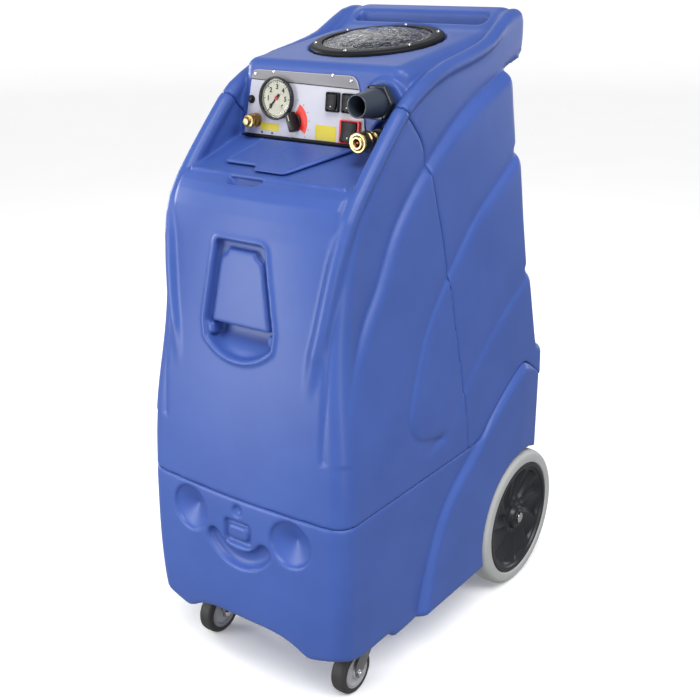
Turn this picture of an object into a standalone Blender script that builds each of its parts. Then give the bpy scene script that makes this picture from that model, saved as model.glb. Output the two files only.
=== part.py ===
"""A portable box carpet extractor: moulded base, solution tank, recovery tank, controls and wheels.

Metres, +Z up, the front faces -Y. The origin is on the floor, under the middle of the machine.
Run with: blender --background --python part.py
"""

import math

import bmesh
import bpy
from mathutils import Matrix, Vector

# ---- Driving dimensions --------------------------------------------------------------------------
LENGTH = 0.667
HEIGHT = 1.018
WHEEL_RADIUS = 0.127
WHEEL_FACE = 0.2035
WHEEL_WIDTH = 0.043
RIM_RADIUS = 0.104
AXLE_RADIUS = 0.00635
CASTER_RADIUS = 0.038
CASTER_X = 0.1404
CASTER_Y = -0.2368
CASTER_TRAIL = 0.022
BASE_BOTTOM = 0.094
SEAM_Z = 0.335
WALL = 0.008
GAP = 0.0003

FRONT = -LENGTH / 2
AXLE_Y = LENGTH / 2 - WHEEL_RADIUS
AXLE_Z = WHEEL_RADIUS
WHEEL_INNER = WHEEL_FACE - WHEEL_WIDTH - 0.002
WELL_RADIUS = 0.137
RAIL_INNER = 0.150
INNER_SHARE = 0.927
FLOOR_Z = BASE_BOTTOM + WALL

# Half-widths of the flank above each sweeping step.
UPPER_HALF = 0.1665
MIDDLE_HALF = 0.1770
LOWER_HALF = 0.1850

DRAIN_X, DRAIN_Y, DRAIN_Z = -0.110, 0.2590, 0.4860

# Control panel: the face of the hood, leaning back by PANEL_LEAN from its lower edge.
PANEL_Y = -0.1235
PANEL_Z = 0.838
PANEL_LEAN = math.radians(6)
PANEL_PLATE = 0.0025
FACE = GAP + PANEL_PLATE + GAP

# Recovery tank opening: a ring on the sloping deck.
RING_CENTRE = (0.0, 0.033, 0.9712)
RING_LEAN = math.radians(8.3)
RING_RADIUS = 0.104
MOUTH_RADIUS = 0.080

CUFF_X, CUFF_Z = 0.1165, 0.9035
COUPLER_X, COUPLER_Z = 0.122, 0.8555
INLET_X, INLET_Z = -0.115, 0.861
REAR_FACE = 0.2900
HINGE_Y, HINGE_Z = 0.2965, 0.3780
HINGE_HALF = 0.110
LID_HINGE_Y, LID_HINGE_Z = -0.1345, 0.8440

# Object space X, Y, Z of a flat side outline become world Y, Z, X.
SIDE = Matrix(((0, 0, 1, 0), (1, 0, 0, 0), (0, 1, 0, 0), (0, 0, 0, 1)))
# Object space Z becomes world -Y, so a turned piece points out of the front.
FORWARD = Matrix.Rotation(math.radians(90), 4, "X")
BACKWARD = Matrix.Rotation(math.radians(-90), 4, "X")
ACROSS = Matrix.Rotation(math.radians(90), 4, "Y")

# ---- Scene, collections and materials ------------------------------------------------------------
for old in list(bpy.data.objects):
    bpy.data.objects.remove(old, do_unlink=True)

parts = bpy.data.collections.new("carpet_extractor")
cutters = bpy.data.collections.new("cutters")
bpy.context.scene.collection.children.link(parts)
bpy.context.scene.collection.children.link(cutters)
cutters.hide_render = True


def material(name, colour, roughness, metallic=0.0, alpha=1.0):
    made = bpy.data.materials.new(name)
    made.use_nodes = True
    shader = made.node_tree.nodes["Principled BSDF"]
    shader.inputs["Base Color"].default_value = (*colour, 1.0)
    shader.inputs["Roughness"].default_value = roughness
    shader.inputs["Metallic"].default_value = metallic
    shader.inputs["Alpha"].default_value = alpha
    made.diffuse_color = (*colour, alpha)
    return made


BLUE = material("blue_polyethylene", (0.07, 0.11, 0.46), 0.42)
WHITE = material("white_panel", (0.80, 0.80, 0.88), 0.45)
BLACK = material("black_plastic", (0.02, 0.02, 0.025), 0.45)
RED = material("red_plastic", (0.75, 0.03, 0.02), 0.4)
SLATE = material("grey_cuff", (0.07, 0.09, 0.13), 0.5)
GAUGE_BLACK = material("gauge_case", (0.04, 0.04, 0.05), 0.35)
CLEAR = material("clear_plastic", (0.85, 0.9, 0.92), 0.08, alpha=0.3)
BRASS = material("brass", (0.80, 0.56, 0.22), 0.25, 1.0)
STEEL = material("zinc_steel", (0.6, 0.6, 0.62), 0.35, 1.0)
TYRE = material("grey_tyre", (0.45, 0.46, 0.48), 0.7)
RUBBER = material("black_rubber", (0.03, 0.03, 0.03), 0.7)
MOTOR = material("motor_metal", (0.45, 0.46, 0.48), 0.4, 0.8)


# ---- Building blocks -----------------------------------------------------------------------------
def put(obj, look=None):
    """Move an object to the parts collection, or to the cutters when it has no material."""
    for holder in list(obj.users_collection):
        holder.objects.unlink(obj)
    if look is None:
        cutters.objects.link(obj)
        obj.hide_render = True
        obj.display_type = "WIRE"
    else:
        parts.objects.link(obj)
        obj.data.materials.clear()
        obj.data.materials.append(look)
    return obj


def from_bmesh(name, bm, look=None, smooth=False):
    mesh = bpy.data.meshes.new(name)
    bm.to_mesh(mesh)
    bm.free()
    if smooth:
        mesh.shade_smooth()
        mesh.set_sharp_from_angle(angle=math.radians(35))
    return put(bpy.data.objects.new(name, mesh), look)


def box(name, low, high, look=None, bevel=0.0):
    bm = bmesh.new()
    size = Vector(high) - Vector(low)
    centre = (Vector(high) + Vector(low)) / 2
    bmesh.ops.create_cube(bm, size=1, matrix=Matrix.Translation(centre) @ Matrix.Diagonal((*size, 1)))
    made = from_bmesh(name, bm, look)
    if bevel:
        rounding = made.modifiers.new("rounding", "BEVEL")
        rounding.width = bevel
        rounding.segments = 2
    return made


def cylinder(name, radius, low, high, place, look=None, sides=32):
    """A cylinder along object Z from low to high, its mesh moved by place."""
    bm = bmesh.new()
    bmesh.ops.create_cone(bm, cap_ends=True, segments=sides, radius1=radius, radius2=radius,
                          depth=high - low)
    bm.transform(place @ Matrix.Translation((0, 0, (low + high) / 2)))
    return from_bmesh(name, bm, look, smooth=True)


def turned(name, profile, place, look=None, steps=32, ring=False):
    """A profile of (radius, height) points turned about object Z, from its top down its outer side."""
    bm = bmesh.new()
    points = [bm.verts.new((radius, 0, height)) for radius, height in profile]
    pairs = list(zip(points, points[1:]))
    if ring:
        pairs.append((points[-1], points[0]))
    for pair in pairs:
        bm.edges.new(pair)
    made = from_bmesh(name, bm, look)
    made.matrix_world = place
    screw = made.modifiers.new("turn", "SCREW")
    screw.steps = steps
    screw.render_steps = steps
    screw.use_merge_vertices = True
    screw.merge_threshold = 0.00001
    return made


def outline_mesh(name, outline, half_thickness, place, look=None):
    """A flat outline with thickness, made as a filled curve and turned into a closed mesh."""
    curve = bpy.data.curves.new(name, "CURVE")
    curve.dimensions = "2D"
    curve.fill_mode = "BOTH"
    curve.extrude = half_thickness
    spline = curve.splines.new("POLY")
    spline.points.add(len(outline) - 1)
    for point, (across, up) in zip(spline.points, outline):
        point.co = (across, up, 0, 1)
    spline.use_cyclic_u = True
    guide = bpy.data.objects.new(name + "_outline", curve)
    bpy.context.scene.collection.objects.link(guide)
    bpy.context.view_layer.update()
    mesh = bpy.data.meshes.new_from_object(guide.evaluated_get(bpy.context.evaluated_depsgraph_get()))
    bpy.data.objects.remove(guide, do_unlink=True)
    bm = bmesh.new()
    bm.from_mesh(mesh)
    bpy.data.meshes.remove(mesh)
    bmesh.ops.remove_doubles(bm, verts=bm.verts, dist=0.00001)
    bm.transform(place)
    bmesh.ops.recalc_face_normals(bm, faces=bm.faces)
    if bm.calc_volume(signed=True) < 0:
        bmesh.ops.reverse_faces(bm, faces=bm.faces)
    return from_bmesh(name, bm, look)


def side_prism(name, outline, half_width, look=None):
    """A side outline of (y, z) points pulled out to both sides of the middle plane."""
    return outline_mesh(name, outline, half_width, SIDE, look)


def side_slabs(name, outline, inner, outer=0.30):
    """A cutter that trims both flanks to inner within a side outline."""
    shift = Matrix.Translation(((inner + outer) / 2, 0, 0))
    slab = outline_mesh(name, outline, (outer - inner) / 2, shift @ SIDE)
    slab.modifiers.new("both_flanks", "MIRROR").merge_threshold = 0.0001
    return slab


def boolean(target, other, operation="DIFFERENCE"):
    step = target.modifiers.new(f"{operation.lower()}_{other.name}", "BOOLEAN")
    step.operation = operation
    step.object = other
    return target


def loft(name, rings, look=None):
    """A closed body through rings that hold equal numbers of points."""
    bm = bmesh.new()
    rows = [[bm.verts.new(point) for point in ring] for ring in rings]
    for lower, upper in zip(rows, rows[1:]):
        for i, here in enumerate(lower):
            j = (i + 1) % len(lower)
            bm.faces.new((here, lower[j], upper[j], upper[i]))
    bm.faces.new(rows[0])
    bm.faces.new(rows[-1])
    bmesh.ops.recalc_face_normals(bm, faces=bm.faces)
    return from_bmesh(name, bm, look)


def arc(centre, radius, start, end, steps):
    """Points on a circle from start to end, in degrees."""
    angles = [math.radians(start + (end - start) * i / steps) for i in range(steps + 1)]
    return [(centre[0] + radius * math.cos(a), centre[1] + radius * math.sin(a)) for a in angles]


def smooth_line(points, steps=4):
    """A Catmull-Rom line through the points."""
    ends = [points[0], *points, points[-1]]
    line = []
    for a, b, c, d in zip(ends, ends[1:], ends[2:], ends[3:]):
        for i in range(steps):
            t = i / steps
            line.append(tuple(
                0.5 * (2 * q + (r - p) * t + (2 * p - 5 * q + 4 * r - s) * t * t
                       + (3 * q - p - 3 * r + s) * t**3)
                for p, q, r, s in zip(a, b, c, d)))
    return [*line, points[-1]]


def section(z, half_width, front, back, corner, bow=0.012, rear_corner=0.03):
    """A level ring with a bowed front, round corners and a flat back."""
    edge = half_width - corner
    ring = [(edge * (i / 3 - 1), front + bow * (i / 3 - 1) ** 2) for i in range(7)]
    ring += arc((edge, front + bow + corner), corner, -72, 0, 4)
    ring += arc((half_width - rear_corner, back - rear_corner), rear_corner, 0, 90, 3)
    ring += arc((rear_corner - half_width, back - rear_corner), rear_corner, 90, 180, 3)
    ring += arc((-edge, front + bow + corner), corner, 180, 252, 4)
    return [(x, y, z) for x, y in ring]


def pivot(name, place):
    empty = bpy.data.objects.new(name, None)
    parts.objects.link(empty)
    empty.matrix_world = place
    empty.empty_display_size = 0.02
    bpy.context.view_layer.update()
    return empty


def hang(obj, empty):
    """Parent an object to a pivot and leave it where it is."""
    obj.parent = empty
    obj.matrix_parent_inverse = empty.matrix_world.inverted()
    return obj


# ---- The three mouldings -------------------------------------------------------------------------
SWOOSH_UPPER = [(0.150, 0.930), (0.0215, 0.877), (-0.0795, 0.812), (-0.1545, 0.742), (-0.1995, 0.664),
                (-0.2415, 0.612), (-0.2805, 0.553), (-0.300, 0.500)]
SWOOSH_MIDDLE = [(0.190, 0.805), (0.0995, 0.750), (0.0345, 0.706), (-0.0315, 0.633), (-0.0875, 0.561),
                 (-0.1165, 0.502), (-0.1375, 0.440), (-0.125, 0.400), (-0.0900, 0.388)]
SWOOSH_LOWER = [(0.230, 0.585), (0.1305, 0.538), (0.0495, 0.476), (-0.0055, 0.417), (-0.0500, 0.388)]
FENDER_EDGE = [(0.2065, 0.4290), (0.1015, 0.3710), (0.0500, 0.3250), (-0.0335, 0.262), (-0.075, 0.190),
               (-0.1005, 0.100)]
SEAM_REAR = [(0.0300, 0.3350), (0.0620, 0.3400), (0.1015, 0.3710), (0.1600, 0.4090), (0.2065, 0.4290),
             (0.2400, 0.4120), (0.2815, 0.3800)]
TANK_SEAM = [(-0.1435, 0.9010), (-0.0990, 0.8550), (-0.0865, 0.8360), (-0.0775, 0.8000), (-0.0325, 0.6520),
             (0.0045, 0.4560), (0.0225, 0.3350)]


def make_base():
    levels = [(BASE_BOTTOM, 0.181, FRONT + 0.006), (0.150, 0.187, FRONT + 0.001), (0.220, 0.190, FRONT),
              (0.300, 0.190, FRONT + 0.001), (0.450, 0.188, FRONT + 0.004)]
    base = loft("base_housing", [section(z, w, f, REAR_FACE, 0.055) for z, w, f in levels], BLUE)
    fender = side_prism("fender", [*smooth_line(FENDER_EDGE), (-0.098, 0.096), (0.2860, 0.096),
                                   (0.2860, 0.385), (0.245, 0.4085)], 0.2010)
    boolean(base, fender, "UNION")
    above_seam = [(-0.50, SEAM_Z - GAP), *[(y, z - GAP) for y, z in smooth_line(SEAM_REAR)], (0.50, 0.3797),
                  (0.50, 0.60), (-0.50, 0.60)]
    boolean(base, side_prism("above_seam", above_seam, 0.30))
    rings = [section(z, w - WALL, f + 0.0195, 0.250, 0.045) for z, w, f in levels]
    front_hollow = [(-0.262, FLOOR_Z), (-0.262, 0.168), (-0.360, 0.180), (-0.360, 0.440), (0.045, 0.440),
                    (0.045, FLOOR_Z)]
    boolean(base, boolean(loft("front_hollow", rings), side_prism("front_hollow_side", front_hollow, 0.2),
                          "INTERSECT"))
    boolean(base, box("rear_hollow", (-0.142, 0.040, FLOOR_Z + 0.001), (0.142, 0.281, 0.61)))
    boolean(base, box("fender_hollow", (-0.192, 0.043, 0.274), (0.192, 0.280, 0.62)))
    for side in (-1, 1):
        place = Matrix.Translation((side * 0.19, AXLE_Y, AXLE_Z)) @ ACROSS
        boolean(base, cylinder(f"wheel_well_{side}", WELL_RADIUS, -0.04, 0.04, place, sides=48))
    axle_hole = Matrix.Translation((0, AXLE_Y, AXLE_Z)) @ ACROSS
    boolean(base, cylinder("axle_hole", AXLE_RADIUS + GAP, -0.2, 0.2, axle_hole, sides=24))
    arch_drop, arch_half = 0.040, 0.150
    arch_radius = (arch_half**2 + arch_drop**2) / (2 * arch_drop)
    arch_place = Matrix.Translation((0, -0.32, BASE_BOTTOM + arch_drop - arch_radius)) @ FORWARD
    boolean(base, cylinder("front_arch", arch_radius, -0.045, 0.05, arch_place, sides=96))
    for side in (-1, 1):
        place = Matrix.Translation((side * 0.0989, FRONT - 0.0415, 0.291)) @ FORWARD
        dimple = turned(f"dimple_{side}", [(0.0, 0.01), (0.045, 0.01), (0.045, -0.0385), (0.036, -0.0415),
                                           (0.030, -0.0465), (0.016, -0.0515), (0.0, -0.053)], place,
                        steps=24)
        boolean(base, dimple)
    smile_x, smile_z, smile_end, smile_half = 0.050, 0.2939, 34.1, 0.013
    smile_radius = smile_x / math.cos(math.radians(smile_end))
    tip_z = smile_z - smile_x * math.tan(math.radians(smile_end))
    smile = arc((0, smile_z), smile_radius + smile_half, 180 + smile_end, 360 - smile_end, 10)
    smile += arc((smile_x, tip_z), smile_half, -smile_end, 180 - smile_end, 6)[1:]
    smile += arc((0, smile_z), smile_radius - smile_half, 360 - smile_end, 180 + smile_end, 8)[1:]
    smile += arc((-smile_x, tip_z), smile_half, smile_end, 180 + smile_end, 6)[1:-1]
    front_face = Matrix.Translation((0, FRONT, 0)) @ FORWARD
    boolean(base, outline_mesh("smile", smile, 0.009, front_face))
    boolean(base, box("badge_recess", (-0.026, FRONT - 0.01, 0.259), (0.026, FRONT + 0.005, 0.297)))
    boolean(base, cylinder("small_dimple", 0.0105, -0.0055, 0.02,
                           Matrix.Translation((0, FRONT, 0.3195)) @ FORWARD, sides=20))
    return base


def make_front_tank():
    levels = [(SEAM_Z + GAP, 0.190, FRONT + 0.0035), (0.450, 0.184, FRONT + 0.011),
              (0.593, 0.174, FRONT + 0.023), (0.670, 0.171, FRONT + 0.030), (0.723, 0.170, FRONT + 0.037),
              (0.762, 0.169, FRONT + 0.057), (0.790, 0.168, FRONT + 0.083), (0.820, 0.168, FRONT + 0.112),
              (0.851, 0.168, FRONT + 0.140), (0.903, 0.167, FRONT + 0.188)]
    rings = []
    for z, half_width, front in levels:
        upper = max(0.0, (z - 0.60) / 0.30)
        rings.append(section(z, half_width, front, 0.100, 0.055 - 0.025 * upper, 0.012 * (1 - upper)))
    tank = loft("front_tank", rings, BLUE)
    behind = [(y - GAP / 2, z) for y, z in TANK_SEAM]
    behind_seam = [(-0.1635, 0.925), *behind, (0.0235, 0.30), (0.20, 0.30), (0.20, 0.95)]
    boolean(tank, side_prism("behind_tank_seam", behind_seam, 0.30))
    deck = [(-0.40, 0.800), (FRONT + 0.084, 0.8025), (PANEL_Y + 0.001, 0.8355), (-0.02, 0.845), (-0.02, 1.0),
            (-0.40, 1.0)]
    boolean(tank, side_prism("deck_cut", deck, RAIL_INNER))
    hollow = [(-0.318, SEAM_Z + 0.009), (-0.300, 0.520), (-0.280, 0.532), (-0.280, 0.742), (-0.248, 0.778),
              (-0.228, 0.792), (-0.112, 0.8230), (-0.094, 0.800), (-0.0440, 0.652), (-0.0070, 0.456),
              (0.0110, SEAM_Z + 0.009)]
    inner_rings = [[(x * INNER_SHARE, y + WALL + 0.0005, z) for x, y, z in ring] for ring in rings]
    boolean(tank, boolean(loft("solution_hollow", inner_rings), side_prism("solution_side", hollow, 0.2),
                          "INTERSECT"))
    boolean(tank, box("filler_mouth", (-0.075, -0.205, 0.76), (0.020, -0.148, 0.90)))
    top_left, top_right = (-0.0465, 0.722), (0.0465, 0.722)
    pocket = [top_right, top_left, (-0.0664, 0.593), *arc((0, 0.637), 0.093, 222, 318, 8), (0.0664, 0.593)]
    pocket_place = Matrix.Translation((0, -0.309, 0)) @ FORWARD
    boolean(tank, outline_mesh("pocket", pocket, 0.0175, pocket_place))
    zone = [*smooth_line(SWOOSH_UPPER), (-0.50, 0.50), (-0.50, 1.05), (0.15, 1.05)]
    boolean(tank, side_slabs("upper_flank", zone, UPPER_HALF))
    return tank


def make_rear_tank():
    levels = [(SEAM_Z + GAP, 0.190), (0.60, 0.190), (0.80, 0.186), (0.95, 0.180), (1.03, 0.170)]
    tank = loft("rear_tank", [section(z, w, -0.20, 0.295, 0.03, 0.0) for z, w in levels], BLUE)
    top = [(-0.1435, 0.9010), (-0.1000, 0.9280), (-0.0600, 0.9480), (-0.0200, 0.9610), (0.0400, 0.9720),
           (0.1000, 0.9810), (0.1350, 0.9960), (0.1650, 1.0120), (0.1900, HEIGHT)]
    tip = arc((0.1950, HEIGHT - 0.012), 0.012, 90, -40, 4)
    back = [(0.2045, 0.9560), (0.1800, 0.9400), (0.1420, 0.9320), (0.1560, 0.8700), (0.1740, 0.8050),
            (0.1950, 0.6900), (0.2180, 0.5870), (0.2450, 0.5000), (0.2590, 0.4600), (0.2700, 0.4400),
            (0.2815, 0.3806)]
    floor = [(y, z + GAP) for y, z in reversed(smooth_line(SEAM_REAR))]
    seam = [(y + GAP / 2, z + GAP * 2) for y, z in reversed(TANK_SEAM)]
    boolean(tank, side_prism("tank_side", [*smooth_line(top), *tip, *back, *floor[1:-1], *seam[:-1]], 0.30),
            "INTERSECT")
    face_top = (PANEL_Y + math.tan(PANEL_LEAN) * 0.2, PANEL_Z + 0.2)
    boolean(tank, side_prism("hood_cut", [(-0.40, 0.78), (PANEL_Y - 0.0061, 0.78), face_top, (-0.40, 1.04)],
                             RAIL_INNER))
    boss = cylinder("port_boss", 0.031, -0.030, -PANEL_Y - 0.0035 - 0.1,
                    Matrix.Translation((CUFF_X, -0.1, CUFF_Z)) @ FORWARD, sides=40)
    boolean(tank, boss, "UNION")
    boolean(tank, cylinder("coupler_recess", 0.0195, -0.014, 0.05,
                           Matrix.Translation((COUPLER_X, PANEL_Y, COUPLER_Z)) @ FORWARD, sides=32))
    boolean(tank, box("hand_slot", (-0.118, 0.1430, 0.88), (0.118, 0.1680, 1.05)))
    boolean(tank, box("hand_slot_back", (-0.118, 0.1425, 0.905), (0.118, 0.26, 0.9760)))
    deck_place = Matrix.Translation(RING_CENTRE) @ Matrix.Rotation(RING_LEAN, 4, "X")
    boolean(tank, cylinder("deck_seat", RING_RADIUS + 0.003, -0.0065, 0.05, deck_place, sides=48))
    hollow = [(-0.0905, 0.852), (-0.0690, 0.800), (-0.0230, 0.652), (0.0140, 0.456), (0.0310, 0.3480),
              (0.0600, 0.3510), (0.0975, 0.3820), (0.1580, 0.4210), (0.2080, 0.4420), (0.2450, 0.4500),
              (0.2330, 0.4980), (0.2080, 0.5860), (0.1850, 0.6880), (0.1640, 0.8030), (0.1320, 0.8900),
              (0.1280, 0.9700), (-0.0640, 0.9320), (-0.0930, 0.9150)]
    boolean(tank, side_prism("recovery_hollow", hollow, 0.155))
    boolean(tank, cylinder("recovery_mouth", MOUTH_RADIUS, -0.06, 0.04, deck_place, sides=48))
    for name, line, inner in (("lower_flank", SWOOSH_LOWER, LOWER_HALF),
                              ("middle_flank", SWOOSH_MIDDLE, MIDDLE_HALF),
                              ("upper_rear_flank", SWOOSH_UPPER, UPPER_HALF)):
        curve = smooth_line(line)
        rear_y, rear_z = curve[0]
        front_z = curve[-1][1]
        zone = [*curve, (-0.50, front_z), (-0.50, 1.10), (rear_y + 0.20, 1.10),
                (rear_y + 0.20, rear_z + 0.03)]
        boolean(tank, side_slabs(name, zone, inner))
    vacuum_bore = Matrix.Translation((CUFF_X, PANEL_Y, CUFF_Z)) @ FORWARD
    boolean(tank, cylinder("vacuum_bore", 0.0135, -0.12, 0.05, vacuum_bore, sides=24))
    drain_bore = Matrix.Translation((DRAIN_X, DRAIN_Y, DRAIN_Z)) @ FORWARD
    boolean(tank, cylinder("drain_bore", 0.0125, -0.05, 0.05, drain_bore, sides=24))
    return tank


# ---- Lids ----------------------------------------------------------------------------------------
def make_solution_lid():
    slope = (0.8355 - 0.8025) / (PANEL_Y + 0.001 - FRONT - 0.084)
    angle = math.atan(slope)
    lid_place = Matrix.Translation((0, PANEL_Y, 0.8355 + GAP)) @ Matrix.Rotation(angle, 4, "X")
    rear, left_front, right_front, thick = -0.012, -0.0977, -0.1130, 0.0055
    corner = 0.006
    tongue = [(-0.0930, rear), *arc((-0.0930, left_front + corner), corner, 180, 270, 3),
              (-0.0360, left_front), (-0.0270, right_front),
              *arc((0.0250, right_front + corner), corner, 270, 340, 3), (0.0800, rear)]
    lid = outline_mesh("solution_lid", tongue, thick / 2,
                       lid_place @ Matrix.Translation((0, 0, thick / 2)), BLUE)
    axis = Matrix.Translation((0, LID_HINGE_Y, LID_HINGE_Z))
    return hang(lid, pivot("solution_lid_pivot", axis))


def make_recovery_lid():
    place = Matrix.Translation(RING_CENTRE) @ Matrix.Rotation(RING_LEAN, 4, "X")
    low = -0.0065 + GAP
    turned("deck_ring", [(0.0850, 0.0065), (0.1010, 0.0060), (RING_RADIUS, 0.0035), (RING_RADIUS, low),
                         (0.0815, low), (0.0815, -0.0005), (0.0850, -0.0005)], place, BLACK, 36, ring=True)
    lift = pivot("recovery_lid_slide", place)
    gasket = turned("lid_gasket", [(0.0845, 0.0014), (0.0845, -0.0002), (0.0820, -0.0002), (0.0820, 0.0014)],
                    place, RUBBER, 36, ring=True)
    dome = turned("lid_dome", [(0.0, 0.0165), (0.020, 0.0160), (0.045, 0.0135), (0.064, 0.0095),
                               (0.076, 0.0045), (0.0845, 0.0042), (0.0845, 0.0017), (0.0765, 0.0017),
                               (0.0765, 0.0003), (0.063, 0.0062), (0.044, 0.0103), (0.020, 0.0130),
                               (0.0, 0.0135)],
                  place, CLEAR, 36)
    hang(gasket, lift)
    hang(dome, lift)


# ---- Control panel -------------------------------------------------------------------------------
def panel_frame():
    """X across, Y up the leaning panel, Z out of it, from the middle of its lower edge."""
    return Matrix.Translation((0, PANEL_Y, PANEL_Z)) @ Matrix.Rotation(math.radians(90) - PANEL_LEAN, 4, "X")


def on_panel(x, z):
    """A frame on the panel at a width and a height above the floor."""
    return panel_frame() @ Matrix.Translation((x, (z - PANEL_Z) / math.cos(PANEL_LEAN), 0))


def make_control_plate():
    outline = [(-0.1385, 0.002), (0.0905, 0.002), (0.0735, 0.078), *arc((0.055, 0.0815), 0.016, 10, 90, 4),
               (-0.1255, 0.0975)]
    plate = outline_mesh("control_plate", outline, PANEL_PLATE / 2,
                         panel_frame() @ Matrix.Translation((0, 0, GAP + PANEL_PLATE / 2)), WHITE)
    boolean(plate, cylinder("button_hole", 0.0047, -0.01, 0.01, on_panel(-0.1255, 0.8905), sides=20))
    boolean(plate, cylinder("inlet_hole", 0.0130, -0.02, 0.02,
                            Matrix.Translation((INLET_X, PANEL_Y, INLET_Z)) @ FORWARD, sides=24))


def make_gauge():
    place = on_panel(-0.073, 0.895)
    turned("gauge_case", [(0.0, 0.0065), (0.0280, 0.0065), (0.0284, 0.0125), (0.0310, 0.0125),
                          (0.0318, 0.0115), (0.0318, 0.0095), (0.0300, 0.0085), (0.0300, FACE),
                          (0.0, FACE)], place, GAUGE_BLACK, 28)
    cylinder("gauge_lens", 0.0278, 0.0100, 0.0114, place, CLEAR, 28)
    needle = [*arc((0, 0), 0.0034, 25, 335, 10), (0.0120, -0.0007), (0.0215, -0.0003), (0.0215, 0.0003),
              (0.0120, 0.0007)]
    lean = Matrix.Rotation(math.radians(230), 4, "Z")
    obj = outline_mesh("gauge_needle", needle, 0.0005, place @ Matrix.Translation((0, 0, 0.0082)) @ lean, RED)
    hang(obj, pivot("gauge_needle_pivot", place))


def make_rocker(name, x, z, outer, window, paddle, look):
    """A bezel on the panel, and a paddle that rocks in it about its own middle."""
    place = on_panel(x, z)
    depth = 0.0045
    bezel = box(name + "_bezel", (-outer[0], -outer[1], FACE), (outer[0], outer[1], FACE + depth), look)
    bezel.data.transform(place)
    opening = box(name + "_window", (-window[0], -window[1], 0), (window[0], window[1], 0.02))
    opening.data.transform(place)
    boolean(bezel, opening)
    reach = paddle[1]
    profile = [(-reach, -0.0008), (0, -0.0024), (reach, -0.0008), (reach, 0.0034), (0, 0.0020),
               (-reach, 0.0034)]
    rock = place @ Matrix.Translation((0, 0, 0.0066)) @ Matrix.Rotation(math.radians(-8), 4, "X")
    rocker = outline_mesh(name, profile, paddle[0], rock @ SIDE, BLACK)
    hang(rocker, pivot(name + "_pivot", rock))


def make_dial():
    place = on_panel(-0.040, 0.863)
    knob = turned("dial_knob", [(0.0, 0.0060), (0.0118, 0.0060), (0.0125, 0.0050), (0.0125, FACE),
                                (0.0, FACE)], place, BLACK, 28)
    bar = box("dial_bar", (-0.0052, -0.0130, 0.0050), (0.0052, 0.0130, 0.0160), bevel=0.0015)
    bar.data.transform(place @ Matrix.Rotation(math.radians(22), 4, "Z"))
    boolean(knob, bar, "UNION")
    hang(knob, pivot("dial_knob_pivot", place))


def make_reset_button():
    place = on_panel(-0.1255, 0.8905)
    button = turned("reset_button", [(0.0, 0.0085), (0.0030, 0.0082), (0.0042, 0.0070), (0.0042, 0.0024),
                                     (0.0, 0.0024)], place, BLACK, 20)
    hang(button, pivot("reset_button_slide", place))


def make_ports():
    boss_face = PANEL_Y - 0.0035
    cuff = Matrix.Translation((CUFF_X, boss_face, CUFF_Z)) @ FORWARD
    turned("vacuum_port_flange", [(0.0150, 0.0110), (0.0225, 0.0110), (0.0240, 0.0095), (0.0240, GAP),
                                  (0.0150, GAP)], cuff, SLATE, 6, ring=True)
    turned("vacuum_cuff", [(0.0120, 0.0560), (0.0142, 0.0560), (0.0150, 0.0550), (0.0158, 0.0480),
                           (0.0200, 0.0180), (0.0200, 0.0113), (0.0120, 0.0113)], cuff, SLATE, 24, ring=True)
    coupler = Matrix.Translation((COUPLER_X, PANEL_Y + 0.014, COUPLER_Z)) @ FORWARD
    turned("coupler_adapter", [(0.0, 0.0370), (0.0090, 0.0370), (0.0090, 0.0290), (0.0135, 0.0290),
                               (0.0135, GAP), (0.0, GAP)], coupler, BLACK, 24)
    turned("coupler_body", [(0.0, 0.0500), (0.0050, 0.0500), (0.0050, 0.0820), (0.0085, 0.0820),
                            (0.0100, 0.0800), (0.0100, 0.0480), (0.0125, 0.0470), (0.0125, 0.0373),
                            (0.0, 0.0373)],
           coupler, BRASS, 20)
    sleeve = turned("coupler_sleeve", [(0.0104, 0.0800), (0.0132, 0.0800), (0.0145, 0.0785), (0.0145, 0.0735),
                                       (0.0128, 0.0715), (0.0128, 0.0640), (0.0145, 0.0625), (0.0145, 0.0560),
                                       (0.0104, 0.0560)], coupler, BRASS, 20, ring=True)
    hang(sleeve, pivot("coupler_sleeve_slide", coupler))
    inlet = Matrix.Translation((INLET_X, PANEL_Y + 0.0025, INLET_Z)) @ FORWARD
    turned("inlet_fitting", [(0.0, 0.0290), (0.0055, 0.0290), (0.0060, 0.0260), (0.0060, 0.0230),
                             (0.0098, 0.0230), (0.0098, 0.0170), (0.0065, 0.0160), (0.0065, 0.0140),
                             (0.0110, 0.0140), (0.0110, 0.0018), (0.0, 0.0018)], inlet, BRASS, 20)


# ---- Inside the tanks and the base ---------------------------------------------------------------
def make_tank_fittings():
    pipe = Matrix.Translation((0.030, 0.075, 0))
    turned("vacuum_standpipe", [(0.0160, 0.820), (0.0190, 0.820), (0.0190, 0.400), (0.0300, 0.400),
                                (0.0300, 0.3915), (0.0160, 0.3915)], pipe, WHITE, 24, ring=True)
    turned("float_shutoff", [(0.0, 0.8810), (0.0300, 0.8810), (0.0320, 0.8760), (0.0320, 0.8210),
                             (0.0, 0.8210)], pipe, WHITE, 24)
    turned("solution_filter", [(0.0, 0.0350), (0.0060, 0.0340), (0.0060, 0.0300), (0.0160, 0.0280),
                               (0.0160, 0.0), (0.0, 0.0)],
           Matrix.Translation((0, -0.200, SEAM_Z + 0.0093)), STEEL, 20)


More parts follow.
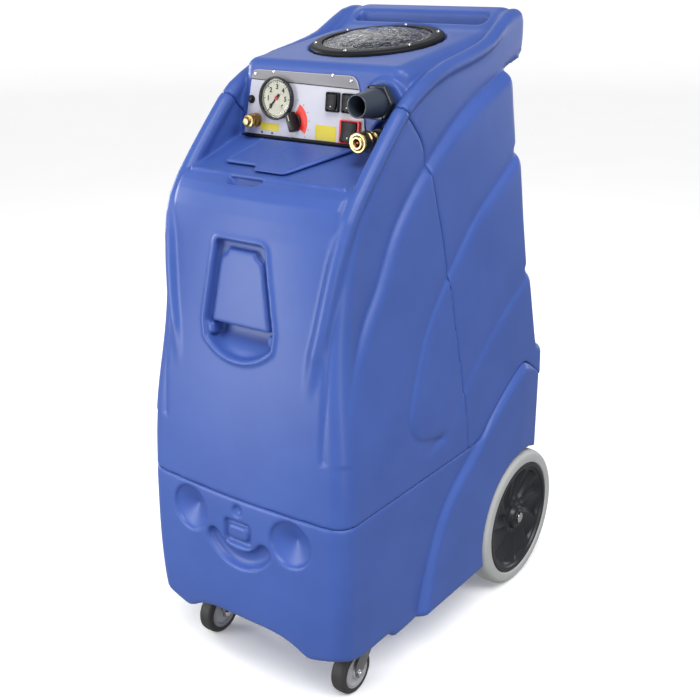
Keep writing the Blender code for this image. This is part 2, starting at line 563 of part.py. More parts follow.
def make_drain_valve():
    place = Matrix.Translation((DRAIN_X, DRAIN_Y, DRAIN_Z)) @ BACKWARD
    turned("drain_valve_body", [(0.0130, 0.0560), (0.0165, 0.0560), (0.0165, 0.0300), (0.0200, 0.0300),
                                (0.0200, 0.0), (0.0130, 0.0)], place, BLACK, 24, ring=True)
    axis = Matrix.Translation((DRAIN_X, DRAIN_Y + 0.0150, DRAIN_Z + 0.0203))
    outline = [*arc((0, 0), 0.0090, 20, 340, 10), *arc((0.0520, 0), 0.0050, -90, 90, 4)]
    lever = outline_mesh("drain_lever", outline, 0.0025, axis @ Matrix.Translation((0, 0, 0.0029)), RED)
    hang(lever, pivot("drain_lever_pivot", axis))


def make_machinery():
    for side, name in ((-1, "left"), (1, "right")):
        place = Matrix.Translation((side * 0.082, -0.155, FLOOR_Z + GAP))
        turned("vacuum_motor_" + name, [(0.0, 0.1750), (0.0350, 0.1750), (0.0420, 0.1680),
                                        (0.0420, 0.0900), (0.0720, 0.0860), (0.0720, 0.0), (0.0, 0.0)],
               place, MOTOR, 28)
        cylinder("cord_gland_" + name, 0.011, 0.0, 0.022,
                 Matrix.Translation((side * 0.080, REAR_FACE + GAP, 0.150)) @ BACKWARD, BLACK, 16)
    pump = Matrix.Translation((0.0, 0.000, 0.170)) @ ACROSS
    cylinder("pump_motor", 0.052, -0.118, 0.030, pump, MOTOR, 28)
    box("pump_head", (0.0305, -0.042, 0.125), (0.120, 0.045, 0.215), BRASS, bevel=0.006)
    box("heat_exchanger", (-0.110, 0.078, 0.160), (0.110, 0.175, 0.255), STEEL, bevel=0.006)
    box("electrical_box", (-0.060, 0.195, 0.180), (0.060, 0.270, 0.300), BLACK, bevel=0.004)


def make_main_hinge():
    """A pin in the base, and two leaves whose knuckles take turns along it."""
    axis = Matrix.Translation((0, HINGE_Y, HINGE_Z)) @ ACROSS
    cylinder("hinge_pin", 0.0030, -HINGE_HALF, HINGE_HALF, axis, STEEL, 16)
    face = REAR_FACE + GAP
    leaf_back = face + 0.0027
    leaves = (("hinge_leaf_base", (face, 0.325), 0.371, (-0.080, 0.0, 0.080), (0.370, 0.379)),
              ("hinge_leaf_tank", (0.2815, 0.385), 0.400, (-0.040, 0.040), (0.377, 0.386)))
    for name, low, top, knuckles, tab_reach in leaves:
        leaf = box(name, (-0.100, *low), (0.100, leaf_back, top), STEEL)
        for number, centre in enumerate(knuckles):
            barrel = cylinder(f"{name}_barrel_{number}", 0.0058, centre - 0.0195, centre + 0.0195, axis,
                              sides=16)
            tab = box(f"{name}_tab_{number}", (centre - 0.0190, face + 0.0002, tab_reach[0]),
                      (centre + 0.0190, leaf_back - 0.0001, tab_reach[1]))
            boolean(leaf, tab, "UNION")
            boolean(leaf, barrel, "UNION")
        boolean(leaf, cylinder(name + "_bore", 0.0034, -0.15, 0.15, axis, sides=16))


def hang_tanks():
    """Everything that tilts with the tanks hangs from the main hinge."""
    tilt = pivot("tank_hinge_pivot", Matrix.Translation((0, HINGE_Y, HINGE_Z)))
    fixed = ("front_tank", "rear_tank", "control_plate", "gauge_case", "gauge_lens", "pump_switch_bezel",
             "vacuum_switch_bezel", "heater_switch_bezel", "vacuum_port_flange", "vacuum_cuff",
             "coupler_adapter", "coupler_body", "inlet_fitting", "deck_ring", "float_shutoff",
             "vacuum_standpipe", "solution_filter", "drain_valve_body", "hinge_leaf_tank")
    moving = ("solution_lid_pivot", "recovery_lid_slide", "gauge_needle_pivot", "pump_switch_pivot",
              "vacuum_switch_pivot", "heater_switch_pivot", "dial_knob_pivot", "reset_button_slide",
              "coupler_sleeve_slide", "drain_lever_pivot")
    for name in (*fixed, *moving):
        hang(bpy.data.objects[name], tilt)


# ---- Wheels --------------------------------------------------------------------------------------
def make_wheels():
    axle_place = Matrix.Translation((0, AXLE_Y, AXLE_Z)) @ ACROSS
    cylinder("rear_axle", AXLE_RADIUS, -0.2015, 0.2015, axle_place, STEEL, 24)
    half = WHEEL_WIDTH / 2
    for side, name in ((-1, "left"), (1, "right")):
        turn = Matrix.Rotation(math.radians(90 * side), 4, "Y")
        place = Matrix.Translation((side * (WHEEL_INNER + half), AXLE_Y, AXLE_Z)) @ turn
        spin = pivot("wheel_pivot_" + name, Matrix.Translation((0, AXLE_Y, AXLE_Z)))
        tyre = turned("tyre_" + name, [(RIM_RADIUS + GAP, half), (WHEEL_RADIUS - 0.006, half),
                                       (WHEEL_RADIUS - 0.0015, half - 0.005), (WHEEL_RADIUS, half - 0.012),
                                       (WHEEL_RADIUS, 0.012 - half), (WHEEL_RADIUS - 0.0015, 0.005 - half),
                                       (WHEEL_RADIUS - 0.006, -half), (RIM_RADIUS + GAP, -half)],
                      place, TYRE, 36, ring=True)
        hub = turned("hub_" + name, [(0.0068, half), (0.0200, half), (0.0230, half - 0.006),
                                     (0.0300, half - 0.012), (0.0920, half - 0.006), (0.0960, half - 0.001),
                                     (RIM_RADIUS, half - 0.001), (RIM_RADIUS, 0.001 - half),
                                     (0.0960, 0.001 - half), (0.0920, 0.010 - half), (0.0300, 0.012 - half),
                                     (0.0200, -half), (0.0068, -half)],
                     place, BLACK, 36, ring=True)
        hang(tyre, spin)
        hang(hub, spin)
        cap = Matrix.Translation((side * (WHEEL_INNER + WHEEL_WIDTH + GAP), AXLE_Y, AXLE_Z)) @ turn
        turned("axle_cap_" + name, [(0.0, 0.0017), (0.0060, 0.0015), (0.0090, 0.0006), (0.0090, 0.0),
                                    (0.0, 0.0)], cap, STEEL, 20)


def make_casters():
    plate_low = BASE_BOTTOM - GAP - 0.004
    for side, name in ((-1, "left"), (1, "right")):
        x, y = side * CASTER_X, CASTER_Y + CASTER_TRAIL
        box("caster_plate_" + name, (x - 0.027, y - 0.032, plate_low),
            (x + 0.027, y + 0.032, BASE_BOTTOM - GAP), STEEL)
        swivel = pivot("caster_swivel_" + name, Matrix.Translation((x, y, 0)))
        cheek = [(CASTER_Y - 0.009, 0.030), (CASTER_Y + 0.009, 0.030), (y + 0.020, 0.080),
                 (y + 0.020, 0.0835), (y - 0.020, 0.0835), (CASTER_Y - 0.010, 0.050)]
        fork_place = Matrix.Translation((x, 0, 0)) @ SIDE
        fork = outline_mesh("caster_fork_" + name, cheek, 0.0185, fork_place, STEEL)
        boolean(fork, box(f"fork_slot_{name}", (x - 0.0160, -0.5, 0.0), (x + 0.0160, 0.5, 0.0800)))
        race = cylinder(f"swivel_race_{name}", 0.020, 0.0815, plate_low - GAP,
                        Matrix.Translation((x, y, 0)), sides=28)
        boolean(fork, race, "UNION")
        axle = Matrix.Translation((x, CASTER_Y, CASTER_RADIUS)) @ ACROSS
        boolean(fork, cylinder(f"fork_bore_{name}", 0.0040, -0.03, 0.03, axle, sides=16))
        hang(fork, swivel)
        bolt = turned("caster_bolt_" + name, [(0.0, 0.0230), (0.0065, 0.0225), (0.0065, 0.0188),
                                              (0.0037, 0.0188), (0.0037, -0.0188), (0.0065, -0.0188),
                                              (0.0065, -0.0225), (0.0, -0.0230)], axle, STEEL, 16)
        hang(bolt, swivel)
        roll = pivot("caster_wheel_pivot_" + name, Matrix.Translation((x, CASTER_Y, CASTER_RADIUS)))
        tyre = turned("caster_tyre_" + name, [(0.0275, 0.0130), (0.0340, 0.0130), (0.0370, 0.0105),
                                              (CASTER_RADIUS, 0.0050), (CASTER_RADIUS, -0.0050),
                                              (0.0370, -0.0105), (0.0340, -0.0130), (0.0275, -0.0130)],
                      axle, RUBBER, 24, ring=True)
        core = turned("caster_core_" + name, [(0.0041, 0.0155), (0.0100, 0.0155), (0.0115, 0.0110),
                                              (0.0230, 0.0090), (0.0272, 0.0125), (0.0272, -0.0125),
                                              (0.0230, -0.0090), (0.0115, -0.0110), (0.0100, -0.0155),
                                              (0.0041, -0.0155)],
                      axle, MOTOR, 20, ring=True)
        hang(tyre, roll)
        hang(core, roll)


make_base()
make_front_tank()
make_rear_tank()
make_solution_lid()
make_recovery_lid()
make_control_plate()
make_gauge()
for rocker_name, rocker_x in (("pump_switch", 0.030), ("vacuum_switch", 0.059)):
    make_rocker(rocker_name, rocker_x, 0.8965, (0.0120, 0.0140), (0.0093, 0.0118), (0.0086, 0.0110), BLACK)
make_rocker("heater_switch", 0.063, 0.8565, (0.0180, 0.0165), (0.0137, 0.0145), (0.0130, 0.0136), RED)
make_dial()
make_reset_button()
make_ports()
make_tank_fittings()
make_drain_valve()
make_machinery()
make_main_hinge()
hang_tanks()
make_wheels()
make_casters()
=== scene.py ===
"""The finished look of a portable box carpet extractor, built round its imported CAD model.

Metres, +Z up, the front faces -Y, in the frame of the CAD model. Tables of points are written in
millimetres, and mm() makes them metres. The big mouldings are smooth distance fields turned into
meshes. Everything else is turned, lofted or bevelled.
"""

import math

import bmesh
import bpy
import numpy as np
from mathutils import Matrix, Vector


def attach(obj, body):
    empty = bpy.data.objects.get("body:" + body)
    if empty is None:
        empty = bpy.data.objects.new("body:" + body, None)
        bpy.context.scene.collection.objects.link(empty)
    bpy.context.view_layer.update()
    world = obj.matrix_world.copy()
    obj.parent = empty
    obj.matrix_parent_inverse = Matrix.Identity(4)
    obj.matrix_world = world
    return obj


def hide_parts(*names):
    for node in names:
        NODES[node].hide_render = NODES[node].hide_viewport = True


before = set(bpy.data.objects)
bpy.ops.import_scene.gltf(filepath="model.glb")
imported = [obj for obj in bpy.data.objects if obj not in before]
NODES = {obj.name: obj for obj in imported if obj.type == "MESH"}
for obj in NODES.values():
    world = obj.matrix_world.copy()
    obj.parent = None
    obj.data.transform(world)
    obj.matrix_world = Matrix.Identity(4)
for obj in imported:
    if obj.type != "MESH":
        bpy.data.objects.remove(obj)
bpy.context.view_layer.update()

# ---- Driving dimensions, as in the CAD model ------------------------------------------------------
FRONT = -0.3335
HEIGHT = 1.018
SEAM_Z = 0.335
AXLE_Y, AXLE_Z = 0.2065, 0.127
PANEL_Y, PANEL_Z = -0.1235, 0.838
PANEL_LEAN = math.radians(6)
RING_CENTRE = Vector((0.0, 0.033, 0.9712))
RING_LEAN = math.radians(8.3)
CUFF_X, CUFF_Z = 0.1165, 0.9035
COUPLER_X, COUPLER_Z = 0.122, 0.8555
INLET_X, INLET_Z = -0.115, 0.861
DRAIN_X, DRAIN_Z = -0.11, 0.486
CASTER_X, CASTER_Y, CASTER_RADIUS = 0.1404, -0.2368, 0.038
REAR_Y = 0.29

CELL = 0.0032


# ---- Frames and curves ---------------------------------------------------------------------------
def shift(x, y, z=0.0):
    return Matrix.Translation((x, y, z))


def spin(axis, degrees):
    return Matrix.Rotation(math.radians(degrees), 4, axis)


FORWARD = spin("X", 90)
BACKWARD = spin("X", -90)
ACROSS = spin("Y", 90)
# Turns an outline's X and Y into the scene's Y and Z, and its height into X.
SIDEWAYS = Matrix(((0, 0, 1, 0), (1, 0, 0, 0), (0, 1, 0, 0), (0, 0, 0, 1)))


def mm(*rows):
    """Rows of millimetres as a list of tuples in metres."""
    return [tuple(value / 1000 for value in row) for row in rows]


def smooth_line(points, steps=5):
    """A Catmull-Rom line through the points."""
    ends = [points[0], *points, points[-1]]
    line = []
    for a, b, c, d in zip(ends, ends[1:], ends[2:], ends[3:]):
        for i in range(steps):
            t = i / steps
            line.append(tuple(0.5 * (2 * q + (r - p) * t + (2 * p - 5 * q + 4 * r - s) * t * t
                + (3 * q - p - 3 * r + s) * t**3) for p, q, r, s in zip(a, b, c, d)))
    return [*line, points[-1]]


def arc(centre, radius, start, end, steps):
    """Points on a circle from start to end, in degrees."""
    angles = [math.radians(start + (end - start) * i / steps) for i in range(steps + 1)]
    return [(centre[0] + radius * math.cos(a), centre[1] + radius * math.sin(a)) for a in angles]


# Side view curves as (y, z): the four sweeping steps of the flank, and the seams.
SWEEP_1 = smooth_line(mm((200, 955), (150, 930), (21.5, 877), (-79.5, 812), (-154.5, 742), (-199.5, 664),
    (-241.5, 602), (-280.5, 533), (-300, 470), (-310, 400)))
SWEEP_2 = smooth_line(mm((230, 830), (171.5, 796), (99.5, 750), (34.5, 706), (-31.5, 633), (-88.5, 561),
    (-121, 502), (-145, 450), (-140, 420), (-120, 404), (-95, 396), (-60, 386), (-25, 376)))
SWEEP_3 = smooth_line(mm((260, 614), (207.5, 583), (130.5, 540), (49.5, 480), (-5.5, 428), (-36, 398),
    (-66, 379), (-100, 374.5), (-135, 390), (-158, 426)))
FENDER = smooth_line(mm((206.5, 429), (160, 409), (101.5, 372), (45, 330), (-43, 266), (-86, 196),
    (-113, 94), (-120, 40)))
SEAM_REAR = smooth_line(mm((30, 335), (62, 340), (101.5, 371), (160, 409), (206.5, 429), (240, 412),
    (285, 378.5)))
TANK_SEAM = smooth_line(mm((-160, 920), (-143.5, 901), (-112, 870), (-90.5, 842), (-78.5, 800),
    (-32.5, 652), (4.5, 456), (22.5, 335), (26, 300)))

# The middle of the front, and the tops of the side walls, as (y, z).
FACE_LINE = smooth_line(mm((-322.5, 20), (-327.5, 94), (-332.5, 150), (-333.5, 220), (-332, 300),
    (-330, 340), (-322.5, 450), (-311, 593), (-304, 670), (-297, 730)))
DECK_START, DECK_END = (-0.2495, 0.8025), (-0.1225, 0.8355)
DECK_SLOPE = (DECK_END[1] - DECK_START[1]) / (DECK_END[0] - DECK_START[0])
WALL_LINE = smooth_line(mm((-325, 300), (-314.5, 450), (-299.5, 593), (-283.5, 690), (-262, 752),
    (-237, 788), (-203, 832), (-185, 851), (-136.5, 898.5), (-95, 923), (-40, 943), (45, 958), (95, 970),
    (130, 987), (160, 1006), (180, 1012)))
REAR_LINE = mm((204.5, 956), (185, 942), (160, 933), (145.5, 927), (156, 870), (169, 813), (165, 805),
    (173.5, 796), (195, 690), (215, 605), (210.8, 597.5), (219.5, 588), (243.5, 500), (254, 462),
    (260, 448), (274, 442), (279, 433), (283, 370))


# ---- Distance fields -----------------------------------------------------------------------------
class Field:
    """A grid of points, given as three axes that broadcast together."""

    def __init__(self, low, high, cell):
        counts = [int(math.ceil((b - a) / cell)) + 1 for a, b in zip(low, high)]
        self.low = np.array(low)
        self.cell = cell
        self.x = (low[0] + cell * np.arange(counts[0])).reshape(-1, 1, 1)
        self.y = (low[1] + cell * np.arange(counts[1])).reshape(1, -1, 1)
        self.z = (low[2] + cell * np.arange(counts[2])).reshape(1, 1, -1)


def outline_distance(points, across, up):
    """Distance to a closed outline, negative inside it."""
    shape = np.broadcast_shapes(across.shape, up.shape)
    nearest = np.full(shape, np.inf)
    inside = np.zeros(shape, bool)
    for (a0, b0), (a1, b1) in zip(points, [*points[1:], points[0]]):
        da, db = a1 - a0, b1 - b0
        length = da * da + db * db
        if length < 1e-12:
            continue
        t = np.clip(((across - a0) * da + (up - b0) * db) / length, 0, 1)
        nearest = np.minimum(nearest, (across - a0 - t * da) ** 2 + (up - b0 - t * db) ** 2)
        if b0 != b1:
            inside ^= ((b0 > up) != (b1 > up)) & (across < a0 + (up - b0) * da / db)
    return np.where(inside, -1.0, 1.0) * np.sqrt(nearest)


def line_distance(points, radii, x, y, z):
    """Distance to a round bead that follows a line of points and changes radius along it."""
    nearest = np.full(np.broadcast_shapes(x.shape, y.shape, z.shape), np.inf, np.float32)
    for a, b, ra, rb in zip(points, points[1:], radii, radii[1:]):
        d = [q - p for p, q in zip(a, b)]
        length = sum(v * v for v in d)
        t = np.clip(((x - a[0]) * d[0] + (y - a[1]) * d[1] + (z - a[2]) * d[2]) / length, 0, 1)
        gap = np.sqrt((x - a[0] - t * d[0]) ** 2 + (y - a[1] - t * d[1]) ** 2
            + (z - a[2] - t * d[2]) ** 2)
        nearest = np.minimum(nearest, gap - (ra + (rb - ra) * t))
    return nearest


def meet(a, b, radius):
    """Both fields at once, with a round edge of that radius where they cross."""
    return (np.minimum(np.maximum(a, b), -radius) + np.sqrt(np.maximum(a + radius, 0) ** 2
        + np.maximum(b + radius, 0) ** 2))


def join(a, b, radius):
    """Either field, with a round fillet of that radius between them."""
    return -meet(-a, -b, radius)


def cut(a, b, radius):
    """The first field without the second, with a round edge."""
    return meet(a, -b, radius)


def ease(value, low, high):
    """0 below low, 1 above high, and smooth between them."""
    t = np.clip((value - low) / (high - low), 0, 1)
    return t * t * (3 - 2 * t)


def flank(y, z):
    """Half the body's width over the side view, with its four sweeping steps."""
    far_down = [(-0.6, -0.2), (0.6, -0.2)]
    s1 = outline_distance([*SWEEP_1, (-0.33, 0.3), *far_down, (0.6, 1.15)], y, z)
    s2 = outline_distance([*SWEEP_2, (0.04, 0.4), (0.1, 0.44), (0.22, 0.52), (0.6, 0.7), (0.6, 1.02)], y,
        z)
    s3 = outline_distance([*SWEEP_3, (-0.164, 0.445), (-0.21, 0.3), *far_down, (0.6, 0.77)], y, z)

    def lip(s, width):
        """A soft step that rises from just outside the line."""
        return 1 - np.exp(-(np.maximum(0.25 * width - s, 0) / width) ** 1.5)

    def valley(s, depth, reach):
        """The zone outside a line sinks towards it."""
        return depth * np.exp(-np.maximum(s, 0) / reach) * ease(s, -0.002, 0.004)

    rear = ease(y, -0.16, 0.16)
    front_fade = np.maximum(ease(-y, 0.225, 0.31), ease(-z, -0.5, -0.4) * ease(-y, 0.18, 0.24))
    flare = 0.019 * ease(-z, -0.62, -0.37) * (1 - rear)
    first = 0.1665 + 0.0077 * front_fade + flare
    second = 0.1732 + 0.001 * (1 - rear) + 0.0075 * rear + flare
    third = 0.1755 + 0.012 * rear + flare
    fourth = 0.1745 + 0.0178 * rear + flare
    width = first - valley(s1, 0.003, 0.014) * (1 - front_fade)
    width = width + (second - width) * lip(s1, 0.0075)
    inside = ease(-s1, -0.002, 0.004)
    sink_2 = valley(s2, 0.0028, 0.016) * ease(z, 0.34, 0.38)
    sink_3 = valley(s3, 0.0026, 0.014) * ease(y, -0.115, -0.06)
    calm = 1 - np.exp(-np.maximum(-s1 - 0.004, 0) / 0.02)
    width = width - calm * (sink_2 + sink_3)
    width = width + (third - width) * lip(s2, 0.0075) * inside
    step_3 = lip(s3, 0.008) * ease(y, -0.15, -0.08)
    width = width + (fourth - width) * step_3 * inside
    return width - 0.0045 * ease(-z, -0.24, -0.08)


def shifted(plane, grid, shift):
    """A field over (y, z), read at y - shift where the shift depends on x and z."""
    place = (grid.y - shift - grid.y[0, 0, 0]) / grid.cell
    low = np.clip(np.floor(place).astype(int), 0, plane.shape[1] - 2)
    share = np.clip(place - low, 0, 1)
    column = np.broadcast_to(np.arange(plane.shape[2]).reshape(1, 1, -1), low.shape)
    return plane[0][low, column] * (1 - share) + plane[0][low + 1, column] * share


def bow(x, z):
    """How far the front falls back towards its corners."""
    amount = 0.0065 + 0.011 * ease(z, 0.48, 0.72)
    return amount * (x / 0.15) ** 2


def corner_radius(z):
    """The round between the face and the flank, tighter higher up."""
    return 0.028 - 0.008 * ease(z, 0.52, 0.76)


# ---- Meshes from fields --------------------------------------------------------------------------
def read_at(values, grid, points):
    """A field's values between its grid points."""
    place = (points - grid.low) / grid.cell
    base = np.clip(np.floor(place).astype(int), 0, np.array(values.shape) - 2)
    share = place - base
    total = 0
    for corner in range(8):
        step = np.array([(corner >> axis) & 1 for axis in range(3)])
        weight = np.prod(np.where(step, share, 1 - share), axis=1)
        i, j, k = (base + step).T
        total = total + weight * values[i, j, k]
    return total


def net(values, grid):
    """Vertices and quads of the surface where a field is zero."""
    inside = values < 0
    counts = values.shape
    cells = tuple(n - 1 for n in counts)
    total = np.zeros((*cells, 3), np.float32)
    crossings = np.zeros(cells, np.int16)
    quads = []
    for axis in range(3):
        near = [slice(None)] * 3
        far = [slice(None)] * 3
        near[axis] = slice(0, -1)
        far[axis] = slice(1, None)
        a, b = values[tuple(near)], values[tuple(far)]
        at = np.argwhere(inside[tuple(near)] != inside[tuple(far)])
        va, vb = a[tuple(at.T)], b[tuple(at.T)]
        crossing = at.astype(np.float32)
        crossing[:, axis] += va / (va - vb)
        u, v = (axis + 1) % 3, (axis + 2) % 3
        keep = np.ones(len(at), bool)
        for other in (u, v):
            keep &= (at[:, other] > 0) & (at[:, other] < counts[other] - 1)
        corners = []
        for du, dv in ((0, 0), (-1, 0), (-1, -1), (0, -1)):
            cell = at.copy()
            cell[:, u] += du
            cell[:, v] += dv
            legal = np.all((cell >= 0) & (cell < np.array(cells)), axis=1)
            index = tuple(cell[legal].T)
            np.add.at(total, index, crossing[legal])
            np.add.at(crossings, index, 1)
            corners.append(cell)
        flip = va < 0
        ring = np.stack(corners, axis=1)[keep]
        ring[~flip[keep]] = ring[~flip[keep]][:, ::-1]
        quads.append(ring)
    used = crossings > 0
    number = np.full(cells, -1, np.int64)
    number[used] = np.arange(used.sum())
    points = total[used] / crossings[used][:, None] * grid.cell + grid.low
    rings = np.concatenate(quads)
    return points, number[rings[..., 0], rings[..., 1], rings[..., 2]]


def shell(name, values, grid, look, keep_share=1.0):
    """A smooth piece from a field, thinned where it is flat, with its normals read from the field."""
    values = values.astype(np.float32)
    points, quads = net(values, grid)
    mesh = bpy.data.meshes.new(name)
    mesh.from_pydata(points.tolist(), [], quads.tolist())
    mesh.update()
    piece = add(bpy.data.objects.new(name, mesh), look)
    if keep_share < 1.0:
        thin = piece.modifiers.new("thin", "DECIMATE")
        thin.ratio = keep_share
        apply_modifiers(piece)
    mesh = piece.data
    place = np.empty(len(mesh.vertices) * 3, np.float32)
    mesh.vertices.foreach_get("co", place)
    place = place.reshape(-1, 3)
    reach = grid.cell
    slope = np.stack([read_at(values, grid, place + step) - read_at(values, grid, place - step)
        for step in np.eye(3) * reach], axis=1)
    slope /= np.maximum(np.linalg.norm(slope, axis=1), 1e-9)[:, None]
    mesh.shade_smooth()
    mesh.normals_split_custom_set_from_vertices(slope.tolist())
    return piece


def apply_modifiers(piece):
    graph = bpy.context.evaluated_depsgraph_get()
    mesh = bpy.data.meshes.new_from_object(piece.evaluated_get(graph))
    old = piece.data
    piece.modifiers.clear()
    piece.data = mesh
    bpy.data.meshes.remove(old)


def add(piece, look):
    """Link a piece to the scene and give it its material."""
    bpy.context.scene.collection.objects.link(piece)
    piece.data.materials.clear()
    piece.data.materials.append(look)
    return piece


def fit(piece, body, slot, *nodes):
    """Hang a piece on its body and hide the CAD nodes it stands for. Its slot is not used."""
    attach(piece, body)
    if nodes:
        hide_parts(*nodes)


# ---- The body ------------------------------------------------------------------------------------
BELOW_SEAM = [(0.6, 0.3785), (0.6, -0.2), (-0.6, -0.2)]
# The filler lid's tongue from above, as (x, y).
TONGUE = mm((-93, -133), (-97.5, -212), (-93, -218.5), (-36, -219), (-27, -233.5), (25, -233.5),
    (31.5, -228), (80, -133))

WALL_INNER = 0.15
RIDGE_RADIUS = 0.0115
RIDGE = smooth_line(mm((112, -319, 440), (119, -310, 500), (128.5, -302.5, 560), (140, -294, 620),
    (150.5, -281.5, 694), (157, -266.5, 746), (158.5, -242, 786), (159, -186.5, 846),
    (159.5, -137, 894.5), (160, -95, 919), (160, -40, 940), (160, 45, 956), (159, 95, 969),
    (157, 130, 987), (154, 165, 1003), (150, 190, 1005)))


def panel_y(z):
    """Where the hood's leaning face stands at a height."""
    return PANEL_Y + math.tan(PANEL_LEAN) * (z - PANEL_Z)


def toward_panel(y, z):
    """How far a point stands out in front of the hood's face."""
    return (panel_y(z) - y) * math.cos(PANEL_LEAN)


def deck_height(y):
    """How high the sloping deck is."""
    return DECK_START[1] + DECK_SLOPE * (y - DECK_START[0])


def ring_z(y):
    """How high the deck ring's plane is."""
    return RING_CENTRE.z + math.tan(RING_LEAN) * (y - RING_CENTRE.y)


def middle_outline():
    """The body's middle in side view: face, deck, hood, crown and spoiler, round to the rear."""
    shoulder = mm((-291.5, 758), (-284.5, 779), (-273.5, 792), (-262, 798.5))
    hood = [(panel_y(0.8362), 0.8362), (panel_y(0.94), 0.94), (-0.1085, 0.948), (-0.101, 0.9518)]
    crown = [(-0.09, ring_z(-0.09)), (0.13, ring_z(0.13)), (0.15, 0.998), (0.168, 1.01), (0.185, 1.017)]
    tip = arc((0.1955, HEIGHT - 0.011), 0.011, 90, -30, 5)
    return [*FACE_LINE, *shoulder, DECK_START, DECK_END, *hood, *crown, *tip, *REAR_LINE, (REAR_Y, 0.369),
        (REAR_Y, 0.02)]


def body_field(grid):
    """The whole body before it is split into its three mouldings."""
    x, y, z = np.abs(grid.x), grid.y, grid.z
    middle = outline_distance(middle_outline(), y, z)
    wall = outline_distance([*WALL_LINE, (0.195, 1.012), (0.202, 1.0), *REAR_LINE, (REAR_Y, 0.369),
        (REAR_Y, 0.02), (-0.32, 0.02)], y, z)
    near_front = ease(-y, 0.125, 0.19)
    middle = shifted(middle, grid, bow(x, z) * near_front)
    hood_edge = 0.004 + 0.02 * ease(z, 0.835, 0.85) * ease(y, -0.15, -0.118)
    side_gap = x - flank(y, z)
    rounding = corner_radius(z) + (0.012 - corner_radius(z)) * ease(y, 0.0, 0.16)
    whole = meet(middle, side_gap, rounding)
    walls = meet(wall + 0.003 * ease(z, 0.45, 0.6), side_gap, rounding)
    walls = meet(walls, WALL_INNER + 0.001 - x, 0.006)
    trough = meet(wall + 0.0095 * (1 - ease(y, 0.06, 0.13)), panel_y(z) + 0.004 - y, 0.008)
    trough = meet(trough, side_gap, rounding)
    walls = join(walls, trough, 0.006 * ease(-side_gap, 0.002, 0.016))
    parts = join(walls, meet(whole, x - WALL_INNER, hood_edge), 0.006)
    body = np.where(z > 0.43, parts, whole)
    line = [(px, py + 0.016 * (1 - float(ease(pz, 0.47, 0.6))), pz) for px, py, pz in RIDGE[::3]]
    return join(body, line_distance(line, [RIDGE_RADIUS] * len(line), x, y, z), 0.005)


def tank_split(grid):
    """Distance to the seam between the tanks, negative in front of it."""
    x, y, z = np.abs(grid.x), grid.y, grid.z
    front = outline_distance([*TANK_SEAM, (-0.6, 0.25), (-0.6, 1.1), (-0.17, 1.1)], y, z)
    above_deck = (deck_height(y) - z) / math.hypot(1, DECK_SLOPE) - 0.0004
    hood = np.maximum(x - WALL_INNER + 0.002, above_deck)
    hood = np.maximum(hood, PANEL_Y - 0.006 - y)
    return np.maximum(front, -hood)


def side_view_prism(grid, outline, half_width, radius):
    return meet(outline_distance(outline, grid.y, grid.z), np.abs(grid.x) - half_width, radius)


def ring_frame(grid):
    """Radius and height of each point about the recovery opening."""
    c, s = math.cos(RING_LEAN), math.sin(RING_LEAN)
    dy, dz = grid.y - RING_CENTRE.y, grid.z - RING_CENTRE.z
    along, up = dy * c + dz * s, dz * c - dy * s
    return np.sqrt(grid.x**2 + along**2), up


